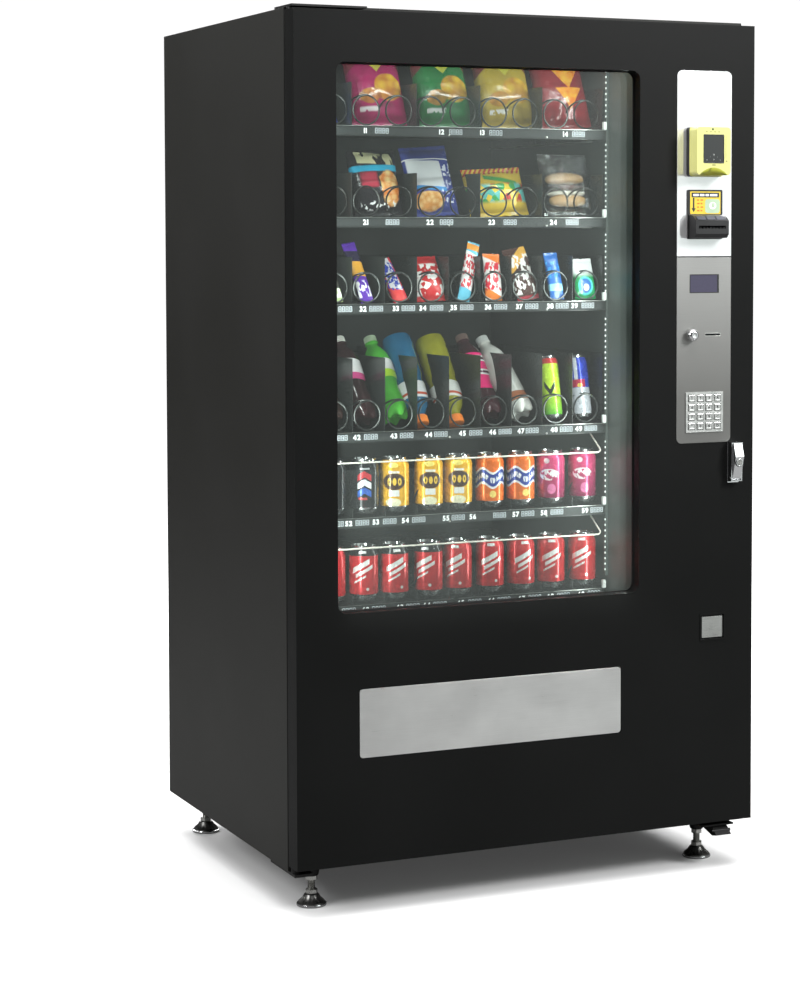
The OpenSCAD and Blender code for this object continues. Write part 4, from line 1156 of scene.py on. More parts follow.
def bottle(name, body_mat, cap, u, y, v, lean, yaw=0.0, roll=0.0, waist=True, down=False, h=205.0):
    p = [(0, 9), (9, 8), (18, 3), (25, 0), (30, 3), (32.6, 10), (33.4, 22), (33.4, 40)]
    p += [(31.2, 60), (29.6, 78), (30.6, 92), (33, 104)] if waist else [(33.4, 70), (33.4, 100)]
    p += [(33.2, 112), (33.2, 140), (32.2, 152), (28.5, 168), (22.5, 181), (16.5, 190), (13.6, 196), (13.3, 200), (15.6, 201.5), (15.6, 204), (13, 204.5), (13, 207), (0, 207)]
    me = turned(name, [body_mat], p, [0] * (len(p) - 1), 60, petal if not down else None)
    ob = put(name, me, "tray_4", u, y, v, lean, roll, yaw)
    c = [(0, 205.5), (13.6, 205.5), (14.4, 206), (14.6, 207), (14.6, 219), (13.8, 220.3), (12.5, 220.8), (0, 220.8)]
    cm = turned(name + "_cap", [cap], c, [0] * 7, 72, cap_mod(72), 25)
    put(name + "_cap", cm, "tray_4", u, y, v, lean, roll, yaw)
    return ob


def sports(name, mat, cap, u, y, v, lean, yaw=0.0, roll=0.0):
    """Wide-mouth bottle that stands on its cap."""
    me = turned(name, [mat], [(0, 20), (17, 20), (17.6, 27), (21, 33), (27.5, 42), (32.5, 55), (35, 70), (35.4, 96), (33.8, 104), (32.8, 112), (34.2, 120), (35.6, 128),
                              (35.6, 152), (34.4, 158), (35.6, 164), (35.6, 190), (34.4, 196), (35.6, 202), (35.8, 216), (33.8, 227), (27, 231), (22, 227), (0, 224)],
                [0] * 22, 60, None)
    put(name, me, "tray_4", u, y, v, lean, roll, yaw)
    c = [(0, 0), (18.2, 0), (19.6, 1), (20.2, 3), (20.2, 17), (19.4, 19), (17, 20.2), (0, 20.2)]
    put(name + "_cap", turned(name + "_cap", [cap], c, [0] * 7, 80, cap_mod(80), 25), "tray_4", u, y, v, lean, roll, yaw)


V4 = TRAY_V[3]
W_, PK = (0.86, 0.86, 0.85), (0.75, 0.08, 0.3)
COLA = (0.022, 0.008, 0.006)
bottle("bottle_40", bottle_mat("drink_dark0", COLA, [(0.1, 0.14, W_)]), cap_mat("cap_cream", (0.75, 0.68, 0.5)), 99, 240, V4 + 20, 34, 0, -4)
bottle("bottle_41", bottle_mat("drink_dark1", COLA, [(0.1, 0.14, W_), (0.098, 0.106, PK)]), cap_mat("cap_cream1", (0.75, 0.68, 0.5)), 177, 240, V4 + 20, 34, 0, -4)
bottle("bottle_42", bottle_mat("drink_dark2", (0.03, 0.008, 0.01), [(0.11, 0.148, W_), (0.095, 0.111, PK)]), cap_mat("cap_white", (0.72, 0.72, 0.66)), 256, 240, V4 + 20, 34, 10, -4)
bottle("bottle_43", bottle_mat("drink_green", (0.07, 0.42, 0.035), [(0.116, 0.146, W_), (0.098, 0.117, (0.45, 0.72, 0.03))]), cap_mat("cap_green", (0.42, 0.52, 0.36)), 334, 240, V4 + 20, 34, 36, -4)
sports("bottle_44", bottle_mat("drink_blue", (0.012, 0.13, 0.26), [(0.058, 0.1, (0.82, 0.83, 0.84)), (0.064, 0.07, (0.6, 0.1, 0.05))]), cap_mat("cap_orange", (0.95, 0.24, 0.02)), 393, 234, V4 + 8, 34, -14, -2)
sports("bottle_45", bottle_mat("drink_olive", (0.34, 0.33, 0.015), [(0.058, 0.1, (0.82, 0.83, 0.8)), (0.064, 0.07, (0.6, 0.1, 0.05))]), cap_mat("cap_orange2", (0.95, 0.24, 0.02)), 482, 236, V4 + 6, 35, 14, -3)
bottle("bottle_46", bottle_mat("drink_berry", (0.045, 0.008, 0.014), [(0.062, 0.158, (0.95, 0.02, 0.22)), (0.098, 0.112, W_), (0.102, 0.108, (0.1, 0.02, 0.05)), (0.134, 0.15, W_), (0.138, 0.146, (0.12, 0.02, 0.05))]), cap_mat("cap_brown", (0.2, 0.13, 0.11)), 569, 240, V4 + 20, 34, -8, -5)
bottle("bottle_47", bottle_mat("drink_milk", (0.66, 0.66, 0.62), [(0.03, 0.052, (0.35, 0.12, 0.05))]), cap_mat("cap_pale", (0.6, 0.62, 0.6)), 652, 240, V4 + 20, 34, 0, -15, False)

# chocolate and snack bars
V3 = TRAY_V[2] + 4


def stripes(cols, slope=0.0, vertical=False):
    def f(t, x, z, c):
        for lo, hi, k in cols:
            c = t.mix(t.band(t.f("ADD", x if vertical else z, t.f("MULTIPLY", z if vertical else x, slope)), lo, hi, 0.0006), c, k)
        return c
    return f


def blotch(lo, hi, a, scale=120.0, stretch=(1, 1, 0.4)):
    """Broken light shapes on a wrapper between two heights."""
    def f(t, x, z, c):
        m = t.f("MULTIPLY", t.band(z, lo, hi, 0.002), t.ramp(t.noise(scale, 1, t.scale(stretch)), 0.5, 0.53))
        return t.mix(m, c, a)
    return f


def chain(*fs):
    def f(t, x, z, c):
        for g in fs:
            c = g(t, x, z, c)
        return c
    return f


def bar(k, base, draw, w, h, d, u, lean, roll, y=226, seed=0, yaw=0.0):
    pouch(f"bar_3{k}", [film(f"wrap_3{k}", base, draw)], w, h, d, "tray_3", u, y, V3, lean, roll, yaw, 7.0, seed + k, 0.02, 32, 30, 0.7)


bar(0, (0.3, 0.02, 0.02), blotch(0.02, 0.08, W_), 36, 105, 17, 96, 20, -3, 214)
bar(1, (0.5, 0.62, 0.3), chain(stripes([(0.03, 0.06, (0.05, 0.05, 0.04))]), blotch(0.01, 0.03, W_)), 42, 100, 18, 176, 24, -6, 214)
bar(2, (0.12, 0.03, 0.42), chain(stripes([(0.062, 0.1, (0.85, 0.42, 0.04)), (0.1, 0.128, (0.02, 0.015, 0.05))], 0.2), blotch(0.012, 0.05, W_, 150)), 32, 150, 16, 255, 28, -8, 214)
bar(3, (0.82, 0.82, 0.86), chain(stripes([(0, 0.03, (0.7, 0.05, 0.05))], 0.5), stripes([(-0.02, -0.013, (0.65, 0.03, 0.05)), (0.013, 0.02, (0.65, 0.03, 0.05))], 0, True), blotch(0.028, 0.1, (0.03, 0.06, 0.45), 190, (1, 1, 0.6))), 36, 112, 16, 337, 30, -14, 214)
bar(4, (0.62, 0.015, 0.02), chain(blotch(0.012, 0.088, (0.86, 0.84, 0.82), 62, (1, 1, 1)), stripes([(0.094, 0.12, (0.55, 0.01, 0.015))])), 70, 112, 34, 411, 27, -2, 214)
bar(5, (0.14, 0.55, 0.75), chain(stripes([(0.03, 0.115, (0.86, 0.84, 0.84))], 0.3), blotch(0.03, 0.11, (0.7, 0.04, 0.06), 170, (1, 1, 0.5)), stripes([(0.122, 0.138, (0.85, 0.35, 0.05))])), 31, 142, 15, 489, 14, 18, 212)
bar(6, (0.86, 0.82, 0.8), chain(stripes([(0, 0.018, (0.85, 0.22, 0.02)), (0.092, 0.12, (0.85, 0.2, 0.02))], 0.5), blotch(0.022, 0.088, (0.65, 0.015, 0.04), 120, (1, 1, 0.6))), 42, 108, 18, 566, 13, 2, 212)
bar(7, (0.07, 0.025, 0.018), chain(stripes([(0.085, 0.115, (0.75, 0.4, 0.06))], -0.8), blotch(0.015, 0.11, (0.8, 0.78, 0.76), 105, (1, 1, 0.6)), stripes([(0, 0.01, (0.4, 0.03, 0.05))])), 58, 128, 20, 657, 21, -10, 213)
bar(8, (0.02, 0.16, 0.55), chain(stripes([(0.02, 0.036, (0.3, 0.7, 0.85))]), blotch(0.05, 0.09, (0.03, 0.3, 0.75), 140)), 36, 112, 14, 729, 17, -2, 212)


def d_mint(t, x, z, c):
    c = t.mix(t.ramp(z, 0.05, 0.062), c, (0.78, 0.8, 0.8))
    c = t.mix(ellipse(t, x, z, 0, 0.03, 0.019, 0.022), c, (0.1, 0.62, 0.6))
    c = t.mix(ellipse(t, x, z, 0, 0.03, 0.014, 0.017), c, (0.03, 0.14, 0.45))
    return t.mix(ellipse(t, x, z, 0.001, 0.026, 0.007, 0.008), c, (0.85, 0.87, 0.88))


bar(9, (0.01, 0.33, 0.1), d_mint, 54, 96, 22, 803, 15, -1, 213)

# chip bags
V1, V2 = TRAY_V[0] + 4, TRAY_V[1] + 4


def big_bag(base, shade, chip_a, chip_b, side=0.022):
    def f(t, x, z, c):
        # painted shade: the bag darkens towards its top to the shade colour
        c = t.mix(t.ramp(z, 0.1, 0.2), c, shade)
        arch = t.f("ADD", z, t.f("MULTIPLY", t.f("MULTIPLY", x, x), 9.0))
        c = t.mix(t.band(arch, 0.158, 0.186, 0.001), c, (0.16, 0.02, 0.03))
        tri = t.f("ADD", z, t.f("MULTIPLY", t.f("ABSOLUTE", x), -1.1))
        c = t.mix(t.f("MULTIPLY", t.ramp(tri, 0.118, 0.12), t.ramp(z, 0.15, 0.152, 1.0, 0.0)), c, (0.62, 0.6, 0.06))
        c = chips(t, x, z, side, 0.082, 0.034, 0.032, c, chip_a, chip_b, 45)
        n = t.noise(105, 1, t.scale((1, 1, 0.35)))
        c = t.mix(t.f("MULTIPLY", slab(t, x, z, -0.055, 0.05, 0.15, 0.172, 0.002), t.ramp(n, 0.5, 0.53)), c, (0.62, 0.58, 0.55))
        c = chips(t, x, z, -0.022, 0.062, 0.024, 0.018, c, chip_b, tuple(q * 0.5 for q in chip_b), 60)
        c = t.mix(t.f("MULTIPLY", slab(t, x, z, -0.052, -0.004, 0.028, 0.038, 0.002), t.ramp(n, 0.42, 0.45)), c, (0.8, 0.79, 0.79))
        # patches darkened at random by noise
        random_dark_patches = t.noise(22, 3)
        return t.mix(t.ramp(random_dark_patches, 0.3, 0.7, 0.45, 0.0), c, tuple(q * 0.4 for q in base))
    return f


def bag1(k, base, shade, u, draw=None, **kw):
    pouch(f"bag_1{k}", [film(f"film_1{k}", base, draw or big_bag(base, shade, (0.85, 0.55, 0.03), (0.55, 0.22, 0.01)))],
          136, 205, 62, "tray_1", u, 250, V1, 21, -2, 0, 10, 11 + k, 0.07, **kw)


bag1(0, (0.05, 0.1, 0.5), (0.03, 0.05, 0.3), 132)
bag1(1, (0.42, 0.008, 0.115), (0.16, 0.02, 0.06), 303)
bag1(2, (0.008, 0.2, 0.045), (0.03, 0.1, 0.03), 467)
bag1(3, (0.52, 0.36, 0.03), (0.28, 0.25, 0.03), 624)


def d_corn(t, x, z, c):
    # painted shade: the bag darkens towards its top
    c = t.mix(t.ramp(z, 0.11, 0.2), c, (0.2, 0.012, 0.02))
    q = t.f("ADD", z, t.f("MULTIPLY", t.f("ABSOLUTE", t.f("SUBTRACT", x, 0.004)), 1.6))
    for z0 in (0.04, 0.088):
        tri = t.f("MULTIPLY", t.ramp(t.f("SUBTRACT", z, t.f("MULTIPLY", t.f("ABSOLUTE", t.f("SUBTRACT", x, 0.01)), 1.5)), z0, z0 + 0.002), t.ramp(z, z0 + 0.05, z0 + 0.053, 1.0, 0.0))
        c = t.mix(tri, c, t.mix(t.ramp(t.noise(60, 2), 0.35, 0.65), (0.75, 0.18, 0.01), (0.85, 0.45, 0.03)))
    c = t.mix(slab(t, x, z, -0.045, 0.045, 0.17, 0.182, 0.003, 0.1), c, (0.6, 0.6, 0.6))
    return c


bag1(4, (0.26, 0.008, 0.016), None, 771, d_corn)


def bag2(k, w, h, d, u, base, draw, lean=19, roll=-2, **kw):
    pouch(f"bag_2{k}", [film(f"film_2{k}", base, draw)], w, h, d, "tray_2", u, 246, V2, lean, roll, 0, 9, 31 + k, 0.06, **kw)


def d_stack(t, x, z, c):
    c = t.mix(t.f("MULTIPLY", slab(t, x, z, -0.04, 0.046, 0.118, 0.15, 0.001, 0.1), t.ramp(t.noise(55, 1, t.scale((1, 1, 0.25))), 0.44, 0.47)), c, (0.72, 0.7, 0.42))
    c = t.mix(slab(t, x, z, -0.06, 0.06, 0.1, 0.115, 0.0015), c, (0.02, 0.45, 0.7))
    c = t.mix(slab(t, x, z, -0.04, 0.0, 0.062, 0.098, 0.003), c, (0.42, 0.03, 0.06))
    c = chips(t, x, z, 0.028, 0.06, 0.024, 0.042, c, (0.95, 0.72, 0.3), (0.7, 0.2, 0.02), 60)
    c = t.mix(t.f("MULTIPLY", slab(t, x, z, -0.045, 0.04, 0.012, 0.03, 0.002), t.ramp(t.noise(95, 1), 0.53, 0.56)), c, (0.85, 0.85, 0.85))
    return c


def d_blue(t, x, z, c):
    c = t.mix(slab(t, x, z, -0.052, 0.026, 0.062, 0.128, 0.001, 0.12), c, (0.78, 0.8, 0.82))
    c = t.mix(slab(t, x, z, -0.06, 0.07, 0.131, 0.134, 0.0006, 0.05), c, (0.8, 0.82, 0.85))
    c = t.mix(slab(t, x, z, -0.05, 0.03, 0.055, 0.064, 0.001, 0.15), c, (0.05, 0.3, 0.7))
    c = chips(t, x, z, -0.016, 0.032, 0.036, 0.022, c, (0.95, 0.62, 0.25), (0.75, 0.3, 0.05), 85)
    return t.mix(t.f("MULTIPLY", slab(t, x, z, 0.02, 0.055, 0.02, 0.12, 0.002), t.ramp(t.noise(120, 1), 0.56, 0.6)), c, (0.7, 0.74, 0.85))


def d_party(t, x, z, c):
    c = t.mix(t.f("MULTIPLY", t.band(z, 0.1, 0.13, 0.001), t.ramp(t.f("SINE", t.f("MULTIPLY", t.f("ADD", x, t.f("MULTIPLY", z, -0.7)), 520.0)), -0.1, 0.1)), c, (0.6, 0.06, 0.02))
    c = t.mix(slab(t, x, z, -0.03, 0.05, 0.078, 0.09, 0.002, 0.25), c, (0.03, 0.3, 0.05))
    cc = t.n("ShaderNodeSeparateColor")
    t.put(cc, 0, t.cells(60, out="Color"))
    q = t.mix(t.ramp(cc.outputs[0], 0.33, 0.36), (0.85, 0.6, 0.03), (0.1, 0.5, 0.45))
    q = t.mix(t.ramp(cc.outputs[1], 0.6, 0.63), q, (0.6, 0.04, 0.03))
    q = t.mix(t.ramp(cc.outputs[2], 0.75, 0.78), q, (0.03, 0.35, 0.08))
    return t.mix(t.band(z, 0.028, 0.072, 0.004), c, q)


bag2(0, 118, 150, 44, 132, (0.3, 0.02, 0.02), d_stack)
bag2(1, 118, 156, 46, 299, (0.018, 0.016, 0.02), d_stack)
bag2(2, 116, 168, 48, 437, (0.035, 0.055, 0.32), d_blue, 20, -4)
bag2(3, 150, 118, 52, 598, (0.85, 0.58, 0.04), d_party, 22, -3)

# clear bag with two filled rolls
cl = Tree("clear_film", (0.8, 0.82, 0.82), 0.12)
tr, gl, ms = cl.n("ShaderNodeBsdfTransparent"), cl.n("ShaderNodeBsdfGlossy"), cl.n("ShaderNodeMixShader")
tr.inputs[0].default_value = (0.9, 0.92, 0.92, 1)
gl.inputs["Roughness"].default_value = 0.12
lw = cl.n("ShaderNodeLayerWeight")
lw.inputs[0].default_value = 0.35
cl.bump(cl.noise(42, 4, None, 0.6, 1.2), 0.006, 1.0)
cl.t.links.new(cl.b.inputs["Normal"].links[0].from_socket, gl.inputs["Normal"])
cl.put(ms, 0, cl.ramp(lw.outputs["Facing"], 0, 1, 0.1, 0.65))
cl.t.links.new(tr.outputs[0], ms.inputs[1])
cl.t.links.new(gl.outputs[0], ms.inputs[2])
cl.t.links.new(ms.outputs[0], cl.t.nodes["Material Output"].inputs[0])
cl.t.nodes.remove(cl.b)
pouch("bag_24", [cl.m], 128, 148, 50, "tray_2", 777, 246, V2 + 2, 17, 0, 0, 11, 77, 0.05)
BREAD = plastic("bread", (0.74, 0.42, 0.16), 0.6, 160, 0.0012, 0.25, 0.3)
FILL = plastic("filling", (0.12, 0.03, 0.02), 0.5, 220, 0.001, 0.5, 0.4)
CREAM = plastic("cream", (0.85, 0.8, 0.68), 0.5, 180, 0.0006, 0.1, 0.4)


def roll_(name, mat, w, h, d, u, y, v, lean, flat=0.0):
    bm = bmesh.new()
    bmesh.ops.create_uvsphere(bm, u_segments=36, v_segments=20, radius=1)
    for q in bm.verts:
        c = q.co
        k = 1 + 0.05 * noise.noise(c * 2.2 + Vector((u * 0.01, 0, v * 0.01)))
        x = math.copysign(abs(c.x) ** 0.7, c.x)
        z = math.copysign(abs(c.z) ** 0.75, c.z)
        q.co = Vector((x * w / 2 * k, c.y * d / 2 * k, z * h / 2 * (1.0 if c.z > 0 else 1 - flat) * k)) * MM
    me = bpy.data.meshes.new(name)
    bm.to_mesh(me)
    bm.free()
    me.materials.append(mat)
    me.polygons.foreach_set("use_smooth", [True] * len(me.polygons))
    return put(name, me, "tray_2", u, y, v, lean)


for nm, mt, w, h, d, z, yy in (("roll_top", BREAD, 96, 34, 34, 82, 272), ("roll_fill", FILL, 90, 12, 32, 64, 266), ("roll_cream", CREAM, 94, 10, 34, 50, 261), ("roll_low", BREAD, 92, 26, 32, 34, 256)):
    roll_(nm, mt, w, h, d, 777, yy, V2 + 2 + z, 17, 0.5 if nm == "roll_top" else 0.0)


# ---------------------------------------------------------------- control panel details
def ring(piece, outer, inner, y0, y1, k=0):
    """A closed frame between two outlines with the same number of points."""
    n = len(outer)
    p = [(a, y0, b) for a, b in outer] + [(a, y0, b) for a, b in inner] + [(a, y1, b) for a, b in outer] + [(a, y1, b) for a, b in inner]
    f = []
    for i in range(n):
        j = (i + 1) % n
        f += [(i, j, n + j, n + i), (2 * n + i, 3 * n + i, 3 * n + j, 2 * n + j), (i, 2 * n + i, 2 * n + j, j), (n + i, n + j, 3 * n + j, 3 * n + i)]
    piece.add(p, f, k)


def annulus(piece, c, r0, r1, y0, y1, n=48, k=0):
    o = [(c[0] + r1 * math.cos(2 * math.pi * i / n), c[1] + r1 * math.sin(2 * math.pi * i / n)) for i in range(n)]
    q = [(c[0] + r0 * math.cos(2 * math.pi * i / n), c[1] + r0 * math.sin(2 * math.pi * i / n)) for i in range(n)]
    ring(piece, o, q, y0, y1, k)


GLOSSB = plastic("screen_black", (0.006, 0.006, 0.007), 0.09, 300, 0.00002, 0.2, 0.6, 0.5)
GREENL = plastic("led_green", (0.01, 0.09, 0.03), 0.2)
MARK = ink("ink_grey", (0.2, 0.21, 0.2))
OLIVE = ink("ink_olive", (0.3, 0.3, 0.09))
STICK = plastic("label_yellow", (0.9, 0.66, 0.05), 0.35, 500, 0.00003, 0.06, 0.5, 0.3)
STICKG = plastic("label_green", (0.55, 0.72, 0.5), 0.35, 500, 0.00003, 0.1, 0.5, 0.3, 60)
ORANGE = ink("ink_orange", (0.75, 0.2, 0.01))

# card reader: screen, lamp, marks
rd = L("card_reader")
fy = rd[2]
pc = Piece("reader_screen", GLOSSB, BLACKP)
ring(pc, rrect(963.6, 1017.4, 1514.6, 1579.4, 2.2, 4), rrect(965.4, 1015.6, 1516.4, 1577.6, 1.2, 4), fy - 0.35, fy + 1.5, 1)
pc.prism(rrect(965.3, 1015.7, 1516.3, 1577.7, 1.2, 4), fy + 0.35, fy + 1.45, 0)
pc.done("door", bevel=0.2)
pc = Piece("reader_marks", MARK, OLIVE, GREENL)
for x in (972, 982.5, 993.5, 1004):
    pc.prism(rrect(x - 2.2, x + 2.2, 1584.2, 1586.4, 0.8, 2), fy - 0.12, fy + 0.1, 1)
pc.lathe([(2.4, 0), (2.2, 0.5), (1.3, 0.9), (0, 1.0)], (988, fy + 0.05, 1591.2), (0, -1, 0), 20, 2)
for x, z, w in ((991, 1534, 4.2), (991, 1523, 3.2), (973, 1522, 2.8), (1008, 1522, 2.2), (982, 1529, 1.4), (1000, 1529, 1.4)):
    pc.prism(rrect(x - w / 2, x + w / 2, z - w / 2, z + w / 2, w * 0.35, 3), fy + 0.22, fy + 0.36, 0)
pc.prism(rrect(986.5, 995.5, 1509.4, 1512.2, 1.1, 3), fy - 0.12, fy + 0.1, 1)
pc.prism(rrect(1022, 1026, 1518, 1521, 0.9, 3), fy - 0.1, fy + 0.1, 1)
pc.prism(rrect(1021.8, 1022.6, 1527, 1578, 0.3, 2), fy - 0.1, fy + 0.1, 1)
pc.done("door")
# painted shade: a black plug fills the mouth of the card slot, at the right side
pc = Piece("card_mouth", BLACKP, YELLOW)
pc.side([(-36.9, 1586), (-35.9, 1590.6), (-31.2, 1591.4), (-30.3, 1586), (-30.3, 1538), (-31.2, 1533.2), (-35.9, 1533.4), (-36.9, 1538)], rd[1] - 0.9, rd[1] + 0.25, 0)
pc.done("door", bevel=0.2)

# banknote validator: label above the snout, teeth in the slot, lamp windows
va = L("bill_validator")
pc = Piece("validator_label", STICK, INK_DARK_AND_SHADOW, INK_WHITE_GLOWING, ORANGE, STICKG)
pc.prism(rrect(954, 1033.5, 1401, 1452, 1.5, 3), -6.35, -5.95, 0)
pc.prism(rrect(957.5, 1029.5, 1438.6, 1449.4, 0.8, 2), -6.5, -6.3, 1)
# painted glow: the white blocks on the label are emissive print
for x0, x1 in ((962, 976), (979, 991), (994, 1003), (1006, 1025)):
    pc.prism(rrect(x0, x1, 1441.4, 1446.4, 0.6, 2), -6.62, -6.45, 2)
pc.prism([(961, 1437.5), (961, 1414), (957.6, 1414), (963, 1405), (968.4, 1414), (965, 1414), (965, 1437.5)], -6.5, -6.3, 1)
for r_ in range(4):
    for c_ in range(2):
        x, z = 972 + 9 * c_, 1431 - 8 * r_
        pc.prism(rrect(x, x + (6.5 if (r_ + c_) % 2 else 5), z, z + 3.2, 0.5, 2), -6.5, -6.3, 3)
pc.prism(rrect(993, 1031.5, 1403, 1435, 7, 5), -6.5, -6.3, 4)
pc.prism(rrect(1004, 1022, 1412, 1428, 8, 6), -6.62, -6.45, 2)
pc.prism(rrect(1010, 1018, 1416, 1426, 3, 4), -6.75, -6.58, 4)
pc.done("door")
pc = Piece("validator_teeth", BLACKP, COINM)
for i in range(8):
    x = 962.5 + i * 8.6
    pc.box(x, x + 3.2, -37.4, -20, 1368.3, 1370.6, 0)
    pc.box(x + 1, x + 2.2, -37.0, -20, 1373.0, 1374.3, 0)
for x0, x1 in ((957, 979), (982, 1004), (1007, 1029)):
    pc.side([(-26.0, 1395.6), (-36.2, 1387.6), (-36.9, 1388.3), (-26.5, 1396.5)], x0, x1, 1)
pc.done("door", bevel=0.15)

# display: bezel round the window, and a glossy black strip along its right inner edge as painted shade of the recess
dp = L("display")
pc = Piece("display_bezel", BLACKP, GLOSSB)
ring(pc, rrect(956.2, 1032.8, 1221.7, 1264.3, 0.9, 3), rrect(958, 1031, 1223.5, 1262.5, 0.5, 3), -1.9, -1.25, 0)
# painted shade: dark strip inside the right edge of the window
pc.prism(rrect(1028.6, 1031.2, 1223.3, 1262.7, 0.3, 2), -1.7, -1.26, 1)
pc.done("door", bevel=0.15)

# keypad: caps with a soft dish and printed legends
names = ["1", "2", "3", "a", "4", "5", "6", "b", "7", "8", "9", "c", "star", "0", "hash", "d"]
legend = "123A456B789C*0#D"
for i, nm in enumerate(names):
    key = f"key_{nm}"
    b = L(key)
    cx, cz = (b[0] + b[1]) / 2, (b[4] + b[5]) / 2
    pc = Piece(f"{key}_cap", KEYM)
    n = 6
    lv = [(8.5, 7.5, 1.2, b[2] + 8.0), (8.5, 7.5, 1.2, b[2] + 0.9), (8.25, 7.25, 1.3, b[2] + 0.35), (7.7, 6.7, 1.3, b[2] + 0.02), (6.9, 5.9, 1.3, b[2] + 0.0), (6.2, 5.2, 1.6, b[2] + 0.22), (3.0, 2.4, 1.2, b[2] + 0.32)]
    loops = [[(u_, y_, v_) for u_, v_ in rrect(cx - w, cx + w, cz - h, cz + h, r_, n)] for w, h, r_, y_ in lv]
    m = len(loops[0])
    pts = [p for lp in loops for p in lp]
    fc = [tuple(range(m - 1, -1, -1)), tuple(range((len(lv) - 1) * m, len(lv) * m))]
    for a in range(len(lv) - 1):
        fc += [(a * m + j, a * m + (j + 1) % m, (a + 1) * m + (j + 1) % m, (a + 1) * m + j) for j in range(m)]
    pc.add(pts, fc, 0, True)
    pc.box(b[0], b[1], b[3] - 1.5, b[3], b[4], b[5])
    pc.done(key, (key,), angle=28)
    pc = Piece(f"{key}_legend", INK_DARK_AND_SHADOW)
    write(pc, legend[i], cx, b[2] + 0.28, cz, 6.4 if legend[i] != "*" else 5.0, 0.14)
    pc.done(key)
kp = L("keypad_plate")
pc = Piece("keypad_rim", PADM, INK_DARK_AND_SHADOW)
ring(pc, rrect(kp[0], kp[1], kp[4], kp[5], 1.6, 4), rrect(kp[0] + 1.5, kp[1] - 1.5, kp[4] + 1.5, kp[5] - 1.5, 1, 4), kp[2] - 0.35, kp[2] + 0.2, 0)
for i in range(16):
    b = L(f"key_{names[i]}")
    cx, cz = (b[0] + b[1]) / 2, (b[4] + b[5]) / 2
    # painted shadow: a thin dark ring on the plate round each key
    ring(pc, rrect(cx - 9.6, cx + 9.6, cz - 8.6, cz + 8.6, 1.8, 4), rrect(cx - 8.95, cx + 8.95, cz - 7.95, cz + 7.95, 1.5, 4), kp[2] - 0.12, kp[2] + 0.1, 1)
pc.done("door")

# coin return knob, coin slot bezel, lock collar and keyhole
kn = L("coin_return_knob")
kc = ((kn[0] + kn[1]) / 2, 0, (kn[4] + kn[5]) / 2)
pc = Piece("coin_return_knob_fine", CHROME)
pc.lathe([(0, 0.9), (4.6, 0.5), (6.2, 0.1), (7.4, 0.15), (8.6, 0.6), (10.4, 2.1), (12.2, 4.3), (13.3, 6.4), (13.9, 8.6), (14, 10.2), (13.9, 12.4), (13.5, 13.4), (5, 13.4), (5, 22.4),
          (7.5, 22.4), (7.5, 24.2), (4, 24.2), (4, kn[3] - kn[2]), (0, kn[3] - kn[2])], (kc[0], kn[2], kc[2]), (0, 1, 0), 64)
pc.done("return_knob", ("coin_return_knob",), angle=30)
pc = Piece("coin_entry", CHROME, SATIN)
annulus(pc, (kc[0], kc[2]), 5.6, 10.5, -2.6, -1.4, 48, 0)
ring(pc, rrect(995.8, 1038.8, 1122.6, 1130.4, 2.6, 6), rrect(997.4, 1037.2, 1124, 1129, 1.6, 6), -1.8, -1.4, 1)
pc.done("door", bevel=0.12)
pc = Piece("lock_collar", CHROME, GLOSSB)
annulus(pc, (1071.5, 834), 6.75, 8.9, -33.4, -28.5, 48, 0)
annulus(pc, (1071.5, 834), 8.9, 10.1, -31.6, -28.5, 48, 1)
pc.done("lock_handle", bevel=0.3)
lp = L("lock_plug")
pc = Piece("keyhole", GLOSSB, ZINC)
# painted shade: the keyhole is a glossy black slot on the plug face, standing for the shade inside the hole; the dark
# ring round it is the joint between plug and housing
pc.prism(rrect(1070.7, 1072.3, 830.6, 837.4, 0.6, 3), lp[2] - 0.12, lp[2] + 0.2, 0)
annulus(pc, (1071.5, 834), 4.6, 5.6, lp[2] - 0.25, lp[2] + 0.2, 40, 0)
pc.done("lock_plug")

# can retaining bars: smooth wire, arms bent up from the rod with a rounded corner
for n_ in (5, 6):
    b = L(f"can_bar_{n_}")
    by, bz = b[2] + 2, b[4] + 2
    py, pz = b[3] - 2.5, b[5] - 2.5
    pc = Piece(f"can_bar_{n_}_fine", BARW, ZINC)
    x0, x1 = b[0] + 9, b[1] - 9
    ln = math.hypot(py - by, pz - bz)
    dy, dz = (py - by) / ln, (pz - bz) / ln
    path = [(x0, py - dy * 1.0, pz - dz * 1.0)]
    for s in (0.75, 0.5, 0.3):
        path.append((x0, by + dy * ln * s, bz + dz * ln * s))
    rr = 14
    for k in range(9):
        a = math.pi / 2 * k / 8
        e, g = rr * (1 - math.sin(a)), rr * (1 - math.cos(a))
        path.append((x0 + g, by + dy * e, bz + dz * e))
    for k in range(1, 12):
        path.append((x0 + rr + (x1 - x0 - 2 * rr) * k / 12, by, bz))
    for k in range(9):
        a = math.pi / 2 * k / 8
        e, g = rr * (1 - math.cos(a)), rr * (1 - math.sin(a))
        path.append((x1 - g, by + dy * e, bz + dz * e))
    for s in (0.3, 0.5, 0.75):
        path.append((x1, by + dy * ln * s, bz + dz * ln * s))
    path.append((x1, py - dy * 1.0, pz - dz * 1.0))
    pc.tube(path, 2.0, 12)
    for a_, c_ in ((b[0], x0 + 2.5), (x1 - 2.5, b[1])):
        pc.lathe([(0, 0), (2.0, 0), (2.5, 0.5), (2.5, c_ - a_ - 0.5), (2.0, c_ - a_), (0, c_ - a_)], (a_, py, pz), (1, 0, 0), 24, 0)
    pc.done(f"can_bar_{n_}", (f"can_bar_{n_}",))

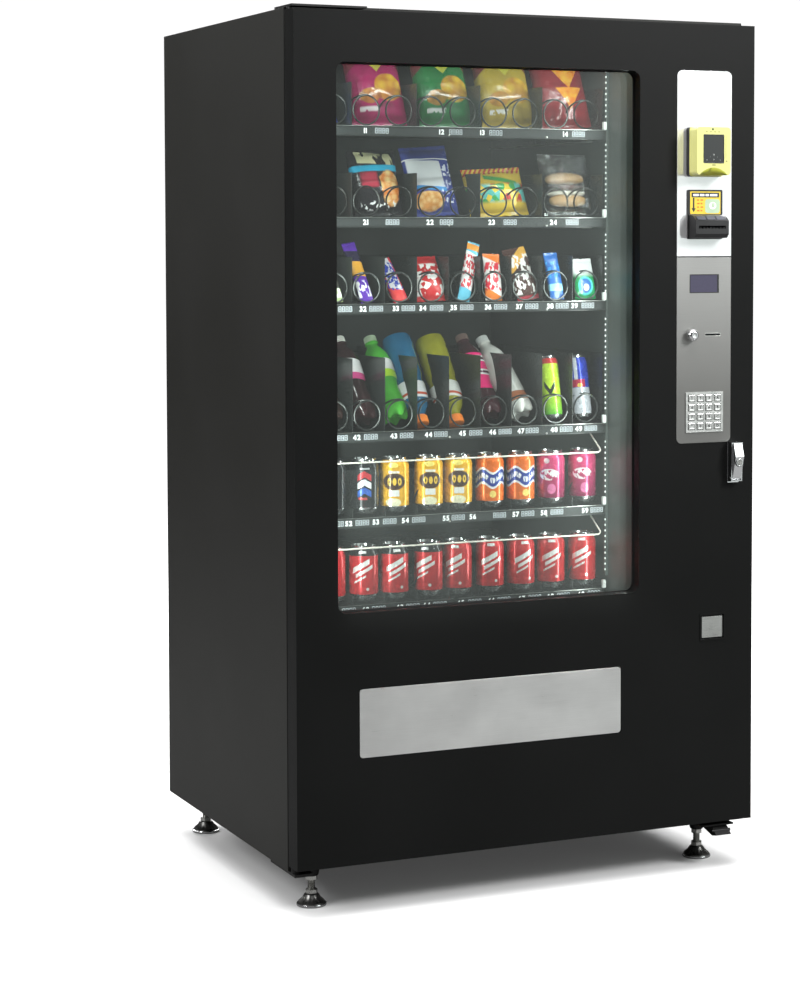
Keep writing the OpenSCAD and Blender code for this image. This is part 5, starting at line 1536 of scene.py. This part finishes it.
# levelling feet: turned pad, threaded stud, chamfered nuts
ft = L("leveling_feet")
g0, g1 = ft[4], ft[5]
PADD = metal("foot_cone", (0.16, 0.16, 0.155), 0.3, 60, 0.2)
pc = Piece("leveling_feet_fine", ZINC, CHROME, PADD)
for x in (ft[0] + 33, ft[1] - 33):
    for y in (ft[2] + 33, ft[3] - 33):
        pc.lathe([(0, 0), (30, 0), (32.4, 0.6), (33, 1.8), (33, 4.4), (32.4, 5.6), (31.2, 6.2)], (x, y, g0), (0, 0, 1), 56, 1)
        pr = [(31.0, 5.4), (30.2, 8.0), (26, 11.2), (21, 15.2), (18, 19.5), (16, 24.2), (15, 25.4), (9, 26)]
        pc.lathe([(0, 5.0)] + pr + [(0, 26.1)], (x, y, g0), (0, 0, 1), 56, 2)
        for k in range(20):
            a = 2 * math.pi * k / 20
            c, s = math.cos(a), math.sin(a)
            pc.tube([(x + r_ * c, y + r_ * s, g0 + h_) for r_, h_ in ((29.2, 8.9), (25, 12.3), (20.6, 15.9), (17.9, 20.2), (16.2, 23.8))], [0.5, 0.9, 0.9, 0.7, 0.4], 6, 2)
        z, th = 36.5, []
        while z < (g1 - g0) - 2.4:
            th += [(8.0, z), (7.25, z + 0.95)]
            z += 1.9
        pc.lathe([(0, 26.0), (8, 26.0)] + th + [(7.4, g1 - g0 - 0.4), (0, g1 - g0 - 0.4)], (x, y, g0), (0, 0, 1), 28, 0)
        for z0, z1 in ((26.3, 36.3), (g1 - g0 - 38, g1 - g0 - 27.4)):
            r6 = 24 / math.sqrt(3)
            pts, fc = [], []
            for rr_, zz in ((11.4, z0), (r6, z0 + 1.2), (r6, z1 - 1.2), (11.4, z1)):
                if rr_ < 12:
                    pts += [(x + rr_ * math.cos(math.pi * j / 12), y + rr_ * math.sin(math.pi * j / 12), g0 + zz) for j in range(24)]
                else:
                    for j in range(24):
                        a = math.pi * j / 12
                        ap = 12.0 / math.cos((a % (math.pi / 3)) - math.pi / 6)
                        pts.append((x + ap * math.cos(a), y + ap * math.sin(a), g0 + zz))
            fc = [tuple(range(23, -1, -1)), tuple(range(72, 96))]
            for q in range(3):
                fc += [(q * 24 + j, q * 24 + (j + 1) % 24, q * 24 + 24 + (j + 1) % 24, q * 24 + 24 + j) for j in range(24)]
            pc.add(pts, fc, 0, False)
pc.done("cabinet", ("leveling_feet",), angle=30)


# ---------------------------------------------------------------- update the view layer
bpy.context.view_layer.update()
